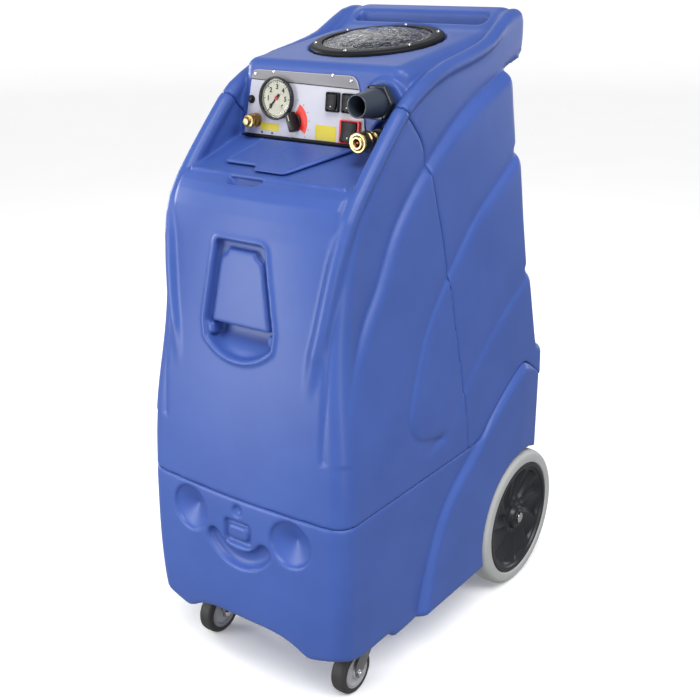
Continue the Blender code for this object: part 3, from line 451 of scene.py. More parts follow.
def make_front_tank(look):
    """The front tank: face, pocket, deck and the sides ahead of the seam."""
    grid = Field((-0.198, -0.345, SEAM_Z - 0.006), (0.198, 0.036, 0.915), CELL)
    x, y, z = grid.x, grid.y, grid.z
    tank = meet(body_field(grid), tank_split(grid) + 0.0002, 0.0014)
    tank = meet(tank, SEAM_Z + 0.0002 - z, 0.0018)
    # The front pocket with its raised lip, the pressed plate inside it and two small nubs.
    px = x + 0.0025
    pocket = outline_distance([*arc((0.037, 0.713), 0.008, 5, 85, 3),
        *arc((-0.037, 0.713), 0.008, 95, 175, 3), (-0.0635, 0.601), *arc((0, 0.641), 0.088, 227, 313, 10),
        (0.0635, 0.601)], px, z)
    face = np.interp(z.ravel(), [p[1] for p in FACE_LINE], [p[0] for p in FACE_LINE]).reshape(1, 1, -1)
    depth = y - face - bow(x, z)
    scoop = 0.029 - 0.018 * ease(-z, -0.585, -0.556)
    floor = np.where(z > 0.599, 0.0125, scoop)
    lip = np.hypot(pocket - 0.0042, depth - 0.0004) - 0.003
    tank = cut(join(tank, lip, 0.003), meet(pocket, depth - floor, 0.005), 0.003)
    plate = outline_distance(mm((25, 709), (-25, 709), (-28, 701), (-37, 696), (-40, 688), (-54.5, 599),
        (54.5, 599), (40, 688), (37, 696), (28, 701)), px, z)
    raised = np.maximum(0.005 - depth, depth - 0.034)
    tank = join(tank, meet(plate, raised, 0.0028), 0.0012)
    for side in (-1, 1):
        nub = np.maximum(np.abs(px - side * 0.058) - 0.0065, np.abs(z - 0.587) - 0.0085)
        tank = join(tank, meet(nub, np.maximum(0.004 - depth, depth - 0.034), 0.003), 0.001)
    # The finger notch in the deck's rounded front lip, and the seat of the filler lid.
    edge = np.hypot((x + 0.025) / 1.45, z - 0.8085) - 0.0235
    notch = meet(edge, -(y + 0.2665), 0.004)
    tank = cut(tank, np.maximum(notch, y + 0.248 - 0.3 * (z - 0.8)), 0.003)
    rim = np.hypot(y + 0.249 - 0.35 * x**2, z - 0.8035) - 0.003
    tank = join(tank, np.maximum(rim, np.abs(x) - 0.142), 0.003)
    tongue = outline_distance(TONGUE, x, y) - 0.0012
    tank = cut(tank, np.maximum(tongue, -0.0012 - (z - deck_height(y))), 0.0015)
    # The hollow inside and the filler mouth over it.
    mouth = np.maximum(np.abs(x + 0.0275) - 0.045, np.abs(y + 0.1765) - 0.0265)
    hollow = mm((-300, 360), (-268, 520), (-258, 730), (-236, 788), (-112, 820), (-94, 790), (-44, 642),
        (-7, 446), (8, 360))
    tank = cut(tank, side_view_prism(grid, hollow, 0.15, 0.01), 0.002)
    tank = cut(tank, np.maximum(mouth, 0.78 - z), 0.0025)
    return shell("front_tank_shell", tank, grid, look, keep_share=0.62)


def make_rear_tank(look):
    """The rear tank: the sides behind the seam, the hood, the crown and the spoiler handle."""
    grid = Field((-0.198, -0.15, 0.33), (0.198, 0.292, HEIGHT + 0.006), CELL * 1.06)
    x, y, z = grid.x, grid.y, grid.z
    tank = meet(body_field(grid), 0.0002 - tank_split(grid), 0.0014)
    under = outline_distance([(-0.6, SEAM_Z), *SEAM_REAR, *BELOW_SEAM], y, z)
    tank = meet(tank, 0.0002 - under, 0.002)
    # The boss behind the vacuum cuff, the arch over the coupler and the seat of the deck ring.
    toward = panel_y(CUFF_Z) - y
    boss = np.hypot(x - CUFF_X, z - CUFF_Z) - 0.032
    tank = join(tank, meet(boss, np.maximum(toward - 0.004, -0.03 - toward), 0.0035), 0.003)
    arch = np.hypot(x - COUPLER_X, z - COUPLER_Z) - 0.0225
    tank = cut(tank, meet(arch, -toward_panel(y, z) - 0.0145, 0.003), 0.003)
    radius, up = ring_frame(grid)
    tank = cut(tank, meet(radius - 0.1062, -0.0062 - up, 0.001), 0.002)
    # The slot behind the spoiler handle.
    slot = outline_distance(mm((143, 900), (143, 1060), (169, 1060), (165.5, 983), (180, 978), (270, 970),
        (270, 933), (146, 920)), y, z)
    tank = cut(tank, meet(slot, np.abs(x) - 0.124, 0.01), 0.0055)
    # The hollow inside, and its openings for the lid, the cuff and the drain.
    inside = mm((-88.5, 850), (-66, 800), (-20, 652), (17, 456), (34, 356), (60, 356), (97.5, 386),
        (158, 425), (208, 446), (240, 452), (228, 498), (203, 586), (182, 688), (159, 803), (130, 890),
        (126, 965), (-60, 938), (-90, 920))
    tank = cut(tank, side_view_prism(grid, inside, 0.148, 0.012), 0.002)
    tank = cut(tank, meet(radius - 0.08, -0.06 - up, 0.002), 0.0025)
    bore = np.maximum(np.hypot(x - CUFF_X, z - CUFF_Z) - 0.0135, y + 0.02)
    tank = cut(tank, bore, 0.001)
    drain = np.maximum(np.hypot(x - DRAIN_X, z - DRAIN_Z) - 0.0125, 0.2 - y)
    tank = cut(tank, drain, 0.001)
    return shell("rear_tank_shell", tank, grid, look, keep_share=0.5)


def make_base(look):
    """The base housing, open at the top, with its wheel wells and pressed front."""
    grid = Field((-0.204, -0.345, 0.07), (0.204, 0.3, 0.445), CELL * 1.06)
    x, y, z = grid.x, grid.y, grid.z
    ax = np.abs(x)
    fender = outline_distance([*FENDER, (-0.108, -0.2), (0.6, -0.2), (0.6, 0.4), (0.24, 0.416)], y, z)
    plain = flank(y, z) - 0.002 * np.exp(-np.maximum(fender, 0) / 0.015) * ease(fender, -0.002, 0.004)
    crest = 0.2005 - 0.006 * ease(y, 0.19, 0.28)
    half = plain + (crest - plain) * ease(-fender, -0.003, 0.012)
    outline = [*FACE_LINE[:-4], (-0.3225, 0.6), (0.34, 0.6), (0.34, 0.02)]
    middle = shifted(outline_distance(outline, y, z), grid, bow(ax, z))
    rear = y - REAR_Y + 0.0065 * ease(ax, 0.115, 0.185)
    base = meet(meet(middle, ax - half, 0.028), rear, 0.028)
    top = outline_distance([(-0.6, SEAM_Z), *SEAM_REAR, *BELOW_SEAM], y, z)
    base = meet(base, top + 0.0002, 0.002)
    # The underside, with a low arch between the casters.
    front_corner = ease(ax, 0.12, 0.18) * ease(-y, 0.26, 0.32)
    bottom = 0.097 - 0.014 * ease(y, -0.196, -0.178) + 0.012 * front_corner
    base = meet(base, bottom - z, 0.01)
    arch = 0.1235 - 0.026 * (ax / 0.118) ** 4
    base = cut(base, np.maximum(z - arch, y + 0.262), 0.01)
    # The room inside, round the housings of the wheel wells.
    hollow_side = mm((-300, 180), (-300, 600), (270, 600), (270, 104), (-250, 104), (-250, 170))
    room = np.where(fender < -0.018, np.minimum(half - 0.01, 0.19), plain - 0.01)
    inner = meet(outline_distance(hollow_side, y, z), ax - room, 0.004)
    axle = np.hypot(y - AXLE_Y, z - AXLE_Z)
    housing = np.maximum(axle - 0.145, 0.144 - ax)
    inner = np.maximum(inner, -housing)
    base = cut(base, inner, 0.003)
    well = meet(axle - 0.1335, 0.151 - ax, 0.004)
    base = cut(base, well, 0.004)
    base = cut(base, axle - 0.0068, 0.001)
    # Two bowls, a dot, a smile and a framed pad are pressed into the front.
    depth = y - FRONT - bow(ax, z) - 0.001
    for side in (-1, 1):
        away = np.hypot(x - side * 0.099, z - 0.2905)
        bowl = 0.018 * (1 - away / 0.037) + 0.004
        base = cut(base, np.maximum(away - 0.036, depth - bowl), 0.0025)
    dot = np.hypot(x, z - 0.316)
    base = cut(base, meet(dot - 0.0085, depth - 0.006, 0.003), 0.0022)
    centre_z, mid_radius, reach = 0.2939, 0.06, math.radians(55.0)
    angle = np.arctan2(x, centre_z - z)
    near = np.clip(angle, -reach, reach)
    smile = np.hypot(x - mid_radius * np.sin(near), z - centre_z + mid_radius * np.cos(near)) - 0.0135
    base = cut(base, meet(smile, depth - 0.012, 0.011), 0.0035)
    frame_box = meet(ax - 0.0265, np.abs(z - 0.278) - 0.0195, 0.006)
    base = cut(base, meet(frame_box, depth - 0.0065, 0.003), 0.0025)
    pill = meet(ax - 0.0195, np.abs(z - 0.279) - 0.011, 0.007)
    base = join(base, meet(pill, np.maximum(0.0005 - depth, depth - 0.02), 0.003), 0.001)
    return shell("base_shell", base, grid, look, keep_share=0.62)


# ---- Turned and extruded pieces ------------------------------------------------------------------
def soften(profile, radius=0.0006, ring=True, steps=3):
    """A line of 2-D points with its corners rounded."""
    count = len(profile)
    made = []
    for i, corner in enumerate(profile):
        if not ring and i in (0, count - 1):
            made.append(tuple(corner))
            continue
        before, here, after = (Vector(profile[k % count]) for k in (i - 1, i, i + 1))
        reach = min(radius, 0.45 * (before - here).length, 0.45 * (after - here).length)
        a = here + (before - here).normalized() * reach
        b = here + (after - here).normalized() * reach
        for k in range(steps + 1):
            t = k / steps
            made.append(tuple(a * (1 - t) ** 2 + here * 2 * t * (1 - t) + b * t**2))
    return made


def turn_into(bm, profile, place, steps=64, ring=False, shape=None):
    """Add a body turned about Z. The shape, if given, moves a point by its radius, height and angle."""
    rows = []
    for k in range(steps):
        angle = math.tau * k / steps
        row = []
        for radius, height in profile:
            if radius < 1e-7:
                row.append(None)
                continue
            r, h = shape(radius, height, angle) if shape else (radius, height)
            row.append(bm.verts.new(place @ Vector((r * math.cos(angle), r * math.sin(angle), h))))
        rows.append(row)
    poles = [bm.verts.new(place @ Vector((0, 0, h))) if r < 1e-7 else None for r, h in profile]
    count = len(profile)
    for here, there in zip(rows, [*rows[1:], rows[0]]):
        for i in range(count if ring else count - 1):
            j = (i + 1) % count
            corners = (here[i] or poles[i], here[j] or poles[j], there[j] or poles[j],
                there[i] or poles[i])
            corners = list(dict.fromkeys(corners))
            if len(corners) > 2:
                bm.faces.new(corners)


def slab_into(bm, outline, low, high, place):
    """Add a flat outline pulled from low to high along Z."""
    rows = [ring_of(bm, place, outline, z) for z in (low, high)]
    bm.faces.new(rows[0][::-1])
    bm.faces.new(rows[1])
    loft_into(bm, rows)


def loft_into(bm, rings, closed=False):
    """Add the walls between rings of vertices."""
    for low, high in zip(rings, [*rings[1:], rings[0]] if closed else rings[1:]):
        for i in range(len(low)):
            j = (i + 1) % len(low)
            bm.faces.new((low[i], low[j], high[j], high[i]))


def ring_of(bm, place, outline, height):
    return [bm.verts.new(place @ Vector((x, y, height))) for x, y in outline]


def piece_from(name, bm, look, bevel=0.0, sharp=38):
    """A bmesh made into a piece, with its hard edges rounded if it has a bevel."""
    bmesh.ops.remove_doubles(bm, verts=bm.verts, dist=1e-6)
    bmesh.ops.recalc_face_normals(bm, faces=bm.faces)
    if bevel:
        edges = [e for e in bm.edges if len(e.link_faces) == 2
            and e.calc_face_angle(0) > math.radians(30)]
        bmesh.ops.bevel(bm, geom=edges, offset=bevel, segments=2, profile=0.5, affect="EDGES",
            clamp_overlap=True)
    mesh = bpy.data.meshes.new(name)
    bm.to_mesh(mesh)
    bm.free()
    mesh.shade_smooth()
    mesh.set_sharp_from_angle(angle=math.radians(sharp))
    return add(bpy.data.objects.new(name, mesh), look)


def lathe(name, profile, place, look, steps=64, ring=False, soft=0.0006, shape=None, sharp=38):
    bm = bmesh.new()
    turn_into(bm, soften(profile, soft, ring) if soft else profile, place, steps, ring, shape)
    return piece_from(name, bm, look, sharp=sharp)


def slab(name, outline, low, high, place, look, bevel=0.0004, corner=0.0):
    bm = bmesh.new()
    slab_into(bm, soften(outline, corner) if corner else outline, low, high, place)
    return piece_from(name, bm, look, bevel)


def box_outline(half_x, half_y, x=0.0, y=0.0):
    return [(x - half_x, y - half_y), (x + half_x, y - half_y), (x + half_x, y + half_y),
        (x - half_x, y + half_y)]


def mirrored(points):
    """A line of points and, from its end back to its start, their mirror images below."""
    return [*points, *[(x, -y) for x, y in points[::-1]]]


def screw_heads(name, places, radius, look):
    """Pan heads with a round drive recess, each standing on its own frame."""
    profile = [(0.0, radius * 0.28), (radius * 0.34, radius * 0.28), (radius * 0.42, radius * 0.52),
        (radius * 0.75, radius * 0.42), (radius, radius * 0.12), (radius, 0.0), (0.0, 0.0)]
    bm = bmesh.new()
    for place in places:
        turn_into(bm, soften(profile, radius * 0.08, ring=False), place, 20)
    return piece_from(name, bm, look)


# ---- Lids ----------------------------------------------------------------------------------------
def fit_solution_lid():
    """The blue tongue over the filler mouth, with raised borders and a crease."""
    grid = Field((-0.104, -0.24, 0.8), (0.086, -0.13, 0.846), CELL * 0.38)
    x, y, z = grid.x, grid.y, grid.z
    over = z - deck_height(y)
    outline = [(px, min(py, -0.1362)) for px, py in TONGUE]
    thickness = np.maximum(over - 0.005, 0.0006 - over)
    lid = meet(outline_distance(outline, x, y) + 0.0006, thickness, 0.0022)
    borders = (((-0.0915, -0.14), (-0.0945, -0.21), 0.0022),
        ((-0.094, -0.215), (-0.037, -0.2155), 0.0018), ((-0.0335, -0.219), (-0.026, -0.229), 0.0018),
        ((0.0745, -0.14), (0.027, -0.224), 0.0022))
    for (x0, y0), (x1, y1), radius in borders:
        ends = [(x0, y0, float(deck_height(y0)) + 0.004), (x1, y1, float(deck_height(y1)) + 0.004)]
        lid = join(lid, line_distance(ends, [radius] * 2, x, y, z), 0.0025)
    crease = [(-0.015, -0.134, float(deck_height(-0.134)) + 0.0066),
        (-0.0345, -0.219, float(deck_height(-0.219)) + 0.0066)]
    lid = cut(lid, line_distance(crease, [0.0028, 0.0028], x, y, z), 0.0015)
    fit(shell("solution_lid_tongue", lid, grid, BLUE), "solution_lid", "blue_shell", "solution_lid")


def fit_recovery_lid():
    """The deck ring with its screws, and the gasketed clear dome that lifts off it."""
    place = Matrix.Translation(RING_CENTRE) @ Matrix.Rotation(RING_LEAN, 4, "X")
    low = -0.0062
    ring = lathe("deck_ring_flange", [(0.0852, 0.0062), (0.0885, 0.0066), (0.0985, 0.0058),
        (0.1036, 0.0032), (0.1038, low), (0.0815, low), (0.0815, -0.0006), (0.0852, -0.0006)], place,
        BLACK, 128, ring=True, soft=0.0012)
    fit(ring, "tanks", "black_plastic", "deck_ring")
    heads = [place @ spin("Z", a) @ shift(0.0945, 0, 0.0062) for a in (35, 95, 155, 215, 275, 335)]
    fit(screw_heads("deck_ring_screws", heads, 0.0032, CHROME), "tanks", "zinc_steel")
    gasket = lathe("lid_gasket_band", mm((84.3, 1.4), (84.3, -0.1), (76.8, -0.1), (76.8, 1.4)), place,
        RUBBER, 96, ring=True, soft=0.0004)
    fit(gasket, "recovery_lid", "black_rubber", "lid_gasket")
    crown = mm((0, 16.5), (12, 16.4), (30, 15.3), (45, 13.6), (58, 11.1), (66, 8.6), (72, 6), (76.5, 4.8),
        (84.5, 4.4), (84.5, 1.7), (76.5, 1.7), (74, 2.8), (63, 7.2), (50, 10.3), (34, 12.7), (15, 14.2),
        (0, 14.5))

    def ribs(radius, height, angle):
        """Low moulded waves that run out from the middle."""
        share = float(ease(radius, 0.012, 0.03) * (1 - ease(radius, 0.06, 0.07)))
        return radius, height - 0.0009 * share * (0.5 + 0.5 * math.cos(12 * angle))

    dome = lathe("lid_dome_clear", crown, place, CLEAR, 144, soft=0.0008, shape=ribs, sharp=60)
    fit(dome, "recovery_lid", "clear_plastic", "lid_dome")
    band = lathe("lid_dome_shade", mm((76.5, 1.4), (76.5, -6), (78, -6), (78, 1.4)), place, BLACK, 96,
        ring=True, soft=0.0003)
    fit(band, "recovery_lid", "black_plastic")


# ---- Control panel -------------------------------------------------------------------------------
def on_panel(x, z):
    """X across, Y up the leaning panel and Z out of it, at a width and a height above the floor."""
    base = shift(0, PANEL_Y, PANEL_Z) @ Matrix.Rotation(math.radians(90) - PANEL_LEAN, 4, "X")
    return base @ shift(x, up_panel(z))


def up_panel(z):
    """How far up the panel's own face a height is."""
    return (z - PANEL_Z) / math.cos(PANEL_LEAN)


PLATE_FACE = 0.0028


def fit_control_plate():
    """The white plate with its dark header, a rule, a black strip painted as the shadow gap under it,
    screws and blank labels.
    """
    place = on_panel(0, PANEL_Z)
    round_corner = arc((0.056, 0.0815), 0.0155, 12, 90, 6)
    outline = [(-0.1383, 0.0022), (0.0903, 0.0022), (0.085, 0.0385), (0.0735, 0.078), *round_corner,
        (-0.115, 0.0974), (-0.1235, 0.0955), (-0.1262, 0.09)]
    fit(slab("control_plate_face", outline, 0.0003, PLATE_FACE, place, WHITE, 0.0004), "tanks",
        "white_panel", "control_plate")
    header_low_left, header_low_right = up_panel(0.9205), up_panel(0.9165)
    header = [(-0.1287, header_low_left), (0.0737, header_low_right), (0.0729, 0.079),
        *arc((0.056, 0.0815), 0.0149, 12, 90, 6), (-0.1148, 0.0968), (-0.1232, 0.095), (-0.1257, 0.09)]
    fit(slab("control_plate_header", header, PLATE_FACE, PLATE_FACE + 0.0003, place, HEADER, 0.00008),
        "tanks", "white_panel")
    line = [(-0.1287, header_low_left - 0.0004), (0.0738, header_low_right - 0.0004),
        (0.0738, header_low_right + 0.0007), (-0.1287, header_low_left + 0.0007)]
    fit(slab("control_plate_rule", line, PLATE_FACE, PLATE_FACE + 0.0005, place, BLACK, 0.0001), "tanks",
        "black_plastic")
    # Painted shadow: a black strip along the plate's lower edge stands in for the shadow gap under the
    # plate.
    shadow_strip = mm((-138.5, -2.2), (92.5, -2.2), (92.5, 1.9), (-138.5, 1.9))
    fit(slab("control_plate_shadow_strip", shadow_strip, 0.0003, 0.0032, place, RUBBER, 0.0006), "tanks", "black_rubber")
    heads = [on_panel(x, z) @ shift(0, 0, PLATE_FACE + 0.0003)
        for x, z in ((-0.084, 0.933), (0.0265, 0.9337), (0.0596, 0.9277), (-0.1195, 0.9285))]
    fit(screw_heads("control_plate_screws", heads, 0.0026, CHROME), "tanks", "zinc_steel")
    small = [on_panel(x, z) @ shift(0, 0, PLATE_FACE) for x, z in ((-0.103, 0.8435), (-0.083, 0.8432))]
    fit(screw_heads("control_plate_pins", small, 0.0017, BLACK), "tanks", "black_plastic")
    labels = bmesh.new()
    for x0, x1, z0, z1 in ((-0.106, -0.07, 0.847, 0.858), (-0.001, 0.0375, 0.841, 0.8625)):
        patch = [(x0, up_panel(z0)), (x1, up_panel(z0) - 0.0004), (x1, up_panel(z1) - 0.0004),
            (x0, up_panel(z1))]
        slab_into(labels, soften(patch, 0.0012), PLATE_FACE, PLATE_FACE + 0.0002, place)
    fit(piece_from("blank_labels", labels, YELLOW, 0.00006), "tanks", "white_panel")


def fit_gauge():
    """The pressure gauge. Its figures 0 to 6 run clockwise from the first one's angle."""
    place = on_panel(-0.073, 0.895)
    first, step, ticks_each = 228, 46, 5
    case = lathe("gauge_body", [(0.0, 0.0064), (0.0286, 0.0064), (0.0288, 0.012), (0.03, 0.0125),
        (0.0311, 0.0121), (0.0318, 0.0112), (0.0318, 0.0097), (0.0306, 0.0088), (0.03, 0.008),
        (0.03, PLATE_FACE), (0.0, PLATE_FACE)], place, GAUGE, 96, soft=0.0005)
    fit(case, "tanks", "gauge_black", "gauge_case")
    dial = lathe("gauge_dial", mm((0, 6.4), (28.4, 6.4), (28.4, 6.7), (0, 6.7)), place, CREAM, 72,
        soft=0.0001)
    fit(dial, "tanks", "white_panel")
    marks = bmesh.new()
    turn_into(marks, mm((25.4, 6.7), (26.1, 6.7), (26.1, 6.9), (25.4, 6.9)), place, 72, ring=True)
    for i in range(6 * ticks_each + 1):
        lean = spin("Z", first - i * step / ticks_each)
        long = i % ticks_each == 0
        start, half = (0.022, 0.0006) if long else (0.0238, 0.0003)
        tick = [(start, -half), (0.0261, -half), (0.0261, half), (start, half)]
        slab_into(marks, tick, 0.0067, 0.0069, place @ lean)
    for i in range(7):
        angle = math.radians(first - i * step)
        curve = bpy.data.curves.new("figure", "FONT")
        curve.body = str(i)
        curve.size = 0.01
        curve.align_x = "CENTER"
        curve.align_y = "CENTER"
        curve.extrude = 0.0001
        curve.offset = 0.00035
        holder = bpy.data.objects.new("figure", curve)
        holder.matrix_world = place @ shift(0.0165 * math.cos(angle), 0.0165 * math.sin(angle), 0.0068)
        bpy.context.scene.collection.objects.link(holder)
        bpy.context.view_layer.update()
        graph = bpy.context.evaluated_depsgraph_get()
        flat = bpy.data.meshes.new_from_object(holder.evaluated_get(graph))
        flat.transform(holder.matrix_world)
        marks.from_mesh(flat)
        bpy.data.objects.remove(holder, do_unlink=True)
        bpy.data.meshes.remove(flat)
        bpy.data.curves.remove(curve)
    fit(piece_from("gauge_marks", marks, BLACK), "tanks", "gauge_black")
    hub = lathe("gauge_needle_hub", mm((0, 9.2), (2, 9), (3.1, 8.4), (3.1, 7.8), (0, 7.8)), place, RED,
        32, soft=0.0003)
    fit(hub, "gauge_needle", "red_plastic", "gauge_needle")
    hand = mirrored(mm((-8, -1.8), (-2, -1.4), (12, -1.1), (20.5, -0.5)))
    fit(slab("gauge_needle_hand", hand, 0.0079, 0.0086, place @ spin("Z", first + 2), BLACK, 0.0001),
        "gauge_needle", "gauge_black")
    lens = lathe("gauge_lens_glass", mm((0, 11.7), (13, 11.6), (24, 11.3), (28.4, 11), (28.4, 10.1),
        (24, 10.4), (13, 10.7), (0, 10.8)), place, GLASS, 96, soft=0.0002, sharp=60)
    fit(lens, "tanks", "clear_plastic", "gauge_lens")


def fit_rocker(name, x, z, outer, window, paddle, look, slot, dot_y):
    """A framed rocker switch with a raised paddle and a pale dot, its sizes given as half widths."""
    place = on_panel(x, z)
    bm = bmesh.new()
    top = PLATE_FACE + 0.0044
    rings = []
    edge = (outer[0] - 0.0007, outer[1] - 0.0007)
    brim = (window[0] + 0.001, window[1] + 0.001)
    steps = ((outer, PLATE_FACE), (outer, top - 0.0008), (edge, top), (brim, top), (window, top - 0.0012),
        (window, PLATE_FACE))
    for half, height in steps:
        corner = 0.0022 if half[0] > window[0] + 0.0005 else 0.0012
        rings.append(ring_of(bm, place, soften(box_outline(*half), corner, steps=4), height))
    loft_into(bm, rings, closed=True)
    fit(piece_from(name + "_frame", bm, look), "tanks", slot, name + "_bezel")
    rock = place @ shift(0, 0, 0.0066) @ spin("X", -8)
    reach = paddle[1]
    side = [(-reach, -0.0008), (0, -0.0024), (reach, -0.0008),
        *arc((reach - 0.0008, 0.0026), 0.0008, 0, 90, 3), (reach * 0.5, 0.0026), (0, 0.002),
        (-reach * 0.5, 0.0026), *arc((0.0008 - reach, 0.0026), 0.0008, 90, 180, 3)]
    fit(slab(name + "_paddle", side, -paddle[0], paddle[0], rock @ SIDEWAYS, GLOSS_BLACK, 0.0005), name,
        "black_plastic", name)
    dot = lathe(name + "_dot", mm((0, 0.3), (1.2, 0.3), (1.4, 0.1), (1.4, -0.4), (0, -0.4)),
        rock @ shift(0, dot_y, 0.0026) @ spin("X", -4), CREAM, 20, soft=0.0001)
    fit(dot, name, "white_panel")


def fit_dial():
    """The temperature dial on its red sector, and the reset button."""
    centre = on_panel(-0.04, 0.863)
    bm = bmesh.new()
    sector = [(-0.006, 0.0), *arc((-0.006, 0.0), 0.03, -32, 62, 20)]
    slab_into(bm, sector, PLATE_FACE, PLATE_FACE + 0.0002, centre)
    fit(piece_from("dial_sector", bm, RED), "tanks", "red_plastic")
    bm = bmesh.new()
    for i in range(9):
        lean = spin("Z", -60 + i * 22)
        slab_into(bm, box_outline(0.0014, 0.0003, 0.0333), PLATE_FACE, PLATE_FACE + 0.0002,
            centre @ shift(-0.006, 0) @ lean)
    fit(piece_from("dial_ticks", bm, BLACK), "tanks", "black_plastic")
    lean = centre @ spin("Z", 22)
    bm = bmesh.new()
    turn_into(bm, soften([(0.0, 0.006), (0.0112, 0.006), (0.0122, 0.005), (0.0124, PLATE_FACE + 0.0003),
        (0.0, PLATE_FACE + 0.0003)], 0.0005, ring=False), centre, 48)
    rings = []
    for half_x, half_y, height in ((0.0068, 0.0142, 0.005), (0.0064, 0.0146, 0.008),
            (0.0056, 0.014, 0.015), (0.0046, 0.013, 0.0159)):
        rings.append(ring_of(bm, lean, soften(box_outline(half_x, half_y), 0.0022, steps=4), height))
    loft_into(bm, rings)
    bm.faces.new(rings[-1])
    bm.faces.new(rings[0][::-1])
    fit(piece_from("dial_knob_bar", bm, GLOSS_BLACK), "dial", "black_plastic", "dial_knob")
    pointer = slab("dial_pointer", box_outline(0.0005, 0.0042, 0.0, 0.0058), 0.0158, 0.016, lean, CREAM,
        0.0)
    fit(pointer, "dial", "white_panel")
    button = on_panel(-0.1255, 0.8905)
    press = lathe("reset_button_cap", mm((0, 8.5), (2.6, 8.4), (4.1, 7.1), (4.1, 2.4), (0, 2.4)), button,
        GLOSS_BLACK, 32, soft=0.0005)
    fit(press, "reset_button", "black_plastic", "reset_button")
    collar = lathe("reset_button_collar", [(0.0045, PLATE_FACE), (0.0062, PLATE_FACE), (0.0062, 0.0042),
        (0.0056, 0.0048), (0.0045, 0.0048)], button, BLACK, 32, ring=True, soft=0.0003)
    fit(collar, "tanks", "black_plastic")


# ---- Ports ---------------------------------------------------------------------------------------
def hexagon(radius):
    return arc((0, 0), radius, 0, 300, 5)


def threads(first, last, radius, depth, pitch):
    """The outer line of a screw thread, as rings."""
    line = []
    count = int(round((last - first) / pitch))
    for i in range(count):
        h = first + pitch * i
        line += [(radius - depth, h), (radius, h + pitch * 0.35), (radius, h + pitch * 0.55)]
    return [*line, (radius - depth, last)]


def knurl(low, high, count, depth):
    """Fine ribs round a ring between two heights."""
    def shape(radius, height, angle):
        deep = depth * (0.5 - 0.5 * math.cos(count * angle)) if low <= height <= high else 0.0
        return radius - deep, height
    return shape


def fit_ports():
    """The vacuum cuff, the brass solution coupler and the solution inlet."""
    cuff = shift(CUFF_X, PANEL_Y - 0.0035, CUFF_Z) @ FORWARD
    bm = bmesh.new()
    hole = arc((0, 0), 0.0152, 0, 350, 35)
    rings = [ring_of(bm, cuff, soften(hexagon(radius), 0.0025, steps=5), height)
        for radius, height in ((0.0268, 0.0004), (0.0268, 0.0093), (0.0254, 0.0109))]
    inner = [ring_of(bm, cuff, hole, height) for height in (0.0109, 0.0004)]
    loft_into(bm, rings)
    for pair in ((rings[-1], inner[0]), (rings[0], inner[1])):
        sides = [(line[i], line[(i + 1) % len(line)]) for line in pair for i in range(len(line))]
        bmesh.ops.bridge_loops(bm, edges=[bm.edges.get(side) or bm.edges.new(side) for side in sides])
    loft_into(bm, inner)
    fit(piece_from("vacuum_port_nut", bm, DARK_SLATE, sharp=30), "tanks", "grey_cuff",
        "vacuum_port_flange")
    pipe = lathe("vacuum_cuff_pipe", mm((14, 55.5), (14.6, 56), (15.7, 56), (16.4, 55.2), (16.6, 52),
        (17, 47), (20.4, 20), (20.6, 18), (20.6, 11.3), (12.5, 11.3), (12.5, 25)), cuff, SLATE, 96,
        ring=True, soft=0.0008)
    fit(pipe, "tanks", "grey_cuff", "vacuum_cuff")

    coupler = shift(COUPLER_X, PANEL_Y + 0.014, COUPLER_Z) @ FORWARD
    stem = [(0.0, 0.037), (0.0088, 0.037), *threads(0.0295, 0.0365, 0.009, 0.0009, 0.0014)[::-1],
        (0.013, 0.0288), (0.0135, 0.028), (0.0135, 0.0205), (0.0118, 0.0195),
        *threads(0.004, 0.019, 0.012, 0.0009, 0.002)[::-1], (0.0118, 0.0006), (0.0, 0.0006)]
    fit(lathe("coupler_stem", stem, coupler, GLOSS_BLACK, 64, soft=0.0002), "tanks", "black_plastic",
        "coupler_adapter")
    socket = mm((0, 56), (3.6, 57), (4, 79), (5.2, 80.6), (6, 82), (8.5, 82), (9.8, 80.8), (10, 79.5),
        (10, 48), (11.2, 47.8), (12.4, 46.8), (12.4, 37.6), (0, 37.6))
    fit(lathe("coupler_socket", socket, coupler, BRASS, 72, soft=0.0005), "tanks", "brass",
        "coupler_body")
    core = lathe("coupler_valve", mm((0, 80), (1.8, 79.8), (2.6, 78.5), (2.6, 64), (0, 64)), coupler,
        COPPER, 40, soft=0.0004)
    fit(core, "tanks", "brass")
    seal = lathe("coupler_seal", mm((4.1, 70), (5, 71.2), (5.8, 81.6), (5.3, 81.1), (4.3, 79.5)), coupler,
        COPPER, 48, ring=True, soft=0.0003)
    fit(seal, "tanks", "brass")
    sleeve = mm((10.4, 79.7), (13, 79.8), (14.3, 79), (14.5, 77.5), (14.5, 74.2), (13.4, 72.2),
        (12.8, 71.2), (12.8, 64.5), (13.5, 63.2), (14.5, 62), (14.5, 56.6), (13.8, 56.1), (10.4, 56.1))
    fit(lathe("coupler_ring", sleeve, coupler, BRASS, 144, ring=True, soft=0.0004,
        shape=knurl(0.056, 0.0622, 48, 0.0005)), "coupler_sleeve", "brass", "coupler_sleeve")

    inlet = shift(INLET_X, PANEL_Y + 0.0025, INLET_Z) @ FORWARD
    bm = bmesh.new()
    turn_into(bm, soften(mm((0, 29), (2.6, 29), (5.2, 29), (5.9, 26.2), (6, 23.2), (9.3, 23), (9.8, 22.2),
        (9.8, 17.8), (9.2, 17), (6.6, 16), (6.5, 14.2), (0, 14.2)), 0.0004, ring=False), inlet, 64)
    fit(piece_from("inlet_coupling", bm, BRASS), "tanks", "brass", "inlet_fitting")
    bm = bmesh.new()
    slab_into(bm, soften(hexagon(0.011), 0.001), 0.0056, 0.014, inlet)
    turn_into(bm, soften(mm((0, 5.6), (10.6, 5.6), (10.6, 2), (0, 2)), 0.0003, ring=False), inlet, 48)
    fit(piece_from("inlet_nut", bm, BRONZE, 0.0005), "tanks", "brass")


# ---- Wheels and casters --------------------------------------------------------------------------
BLADES = 11


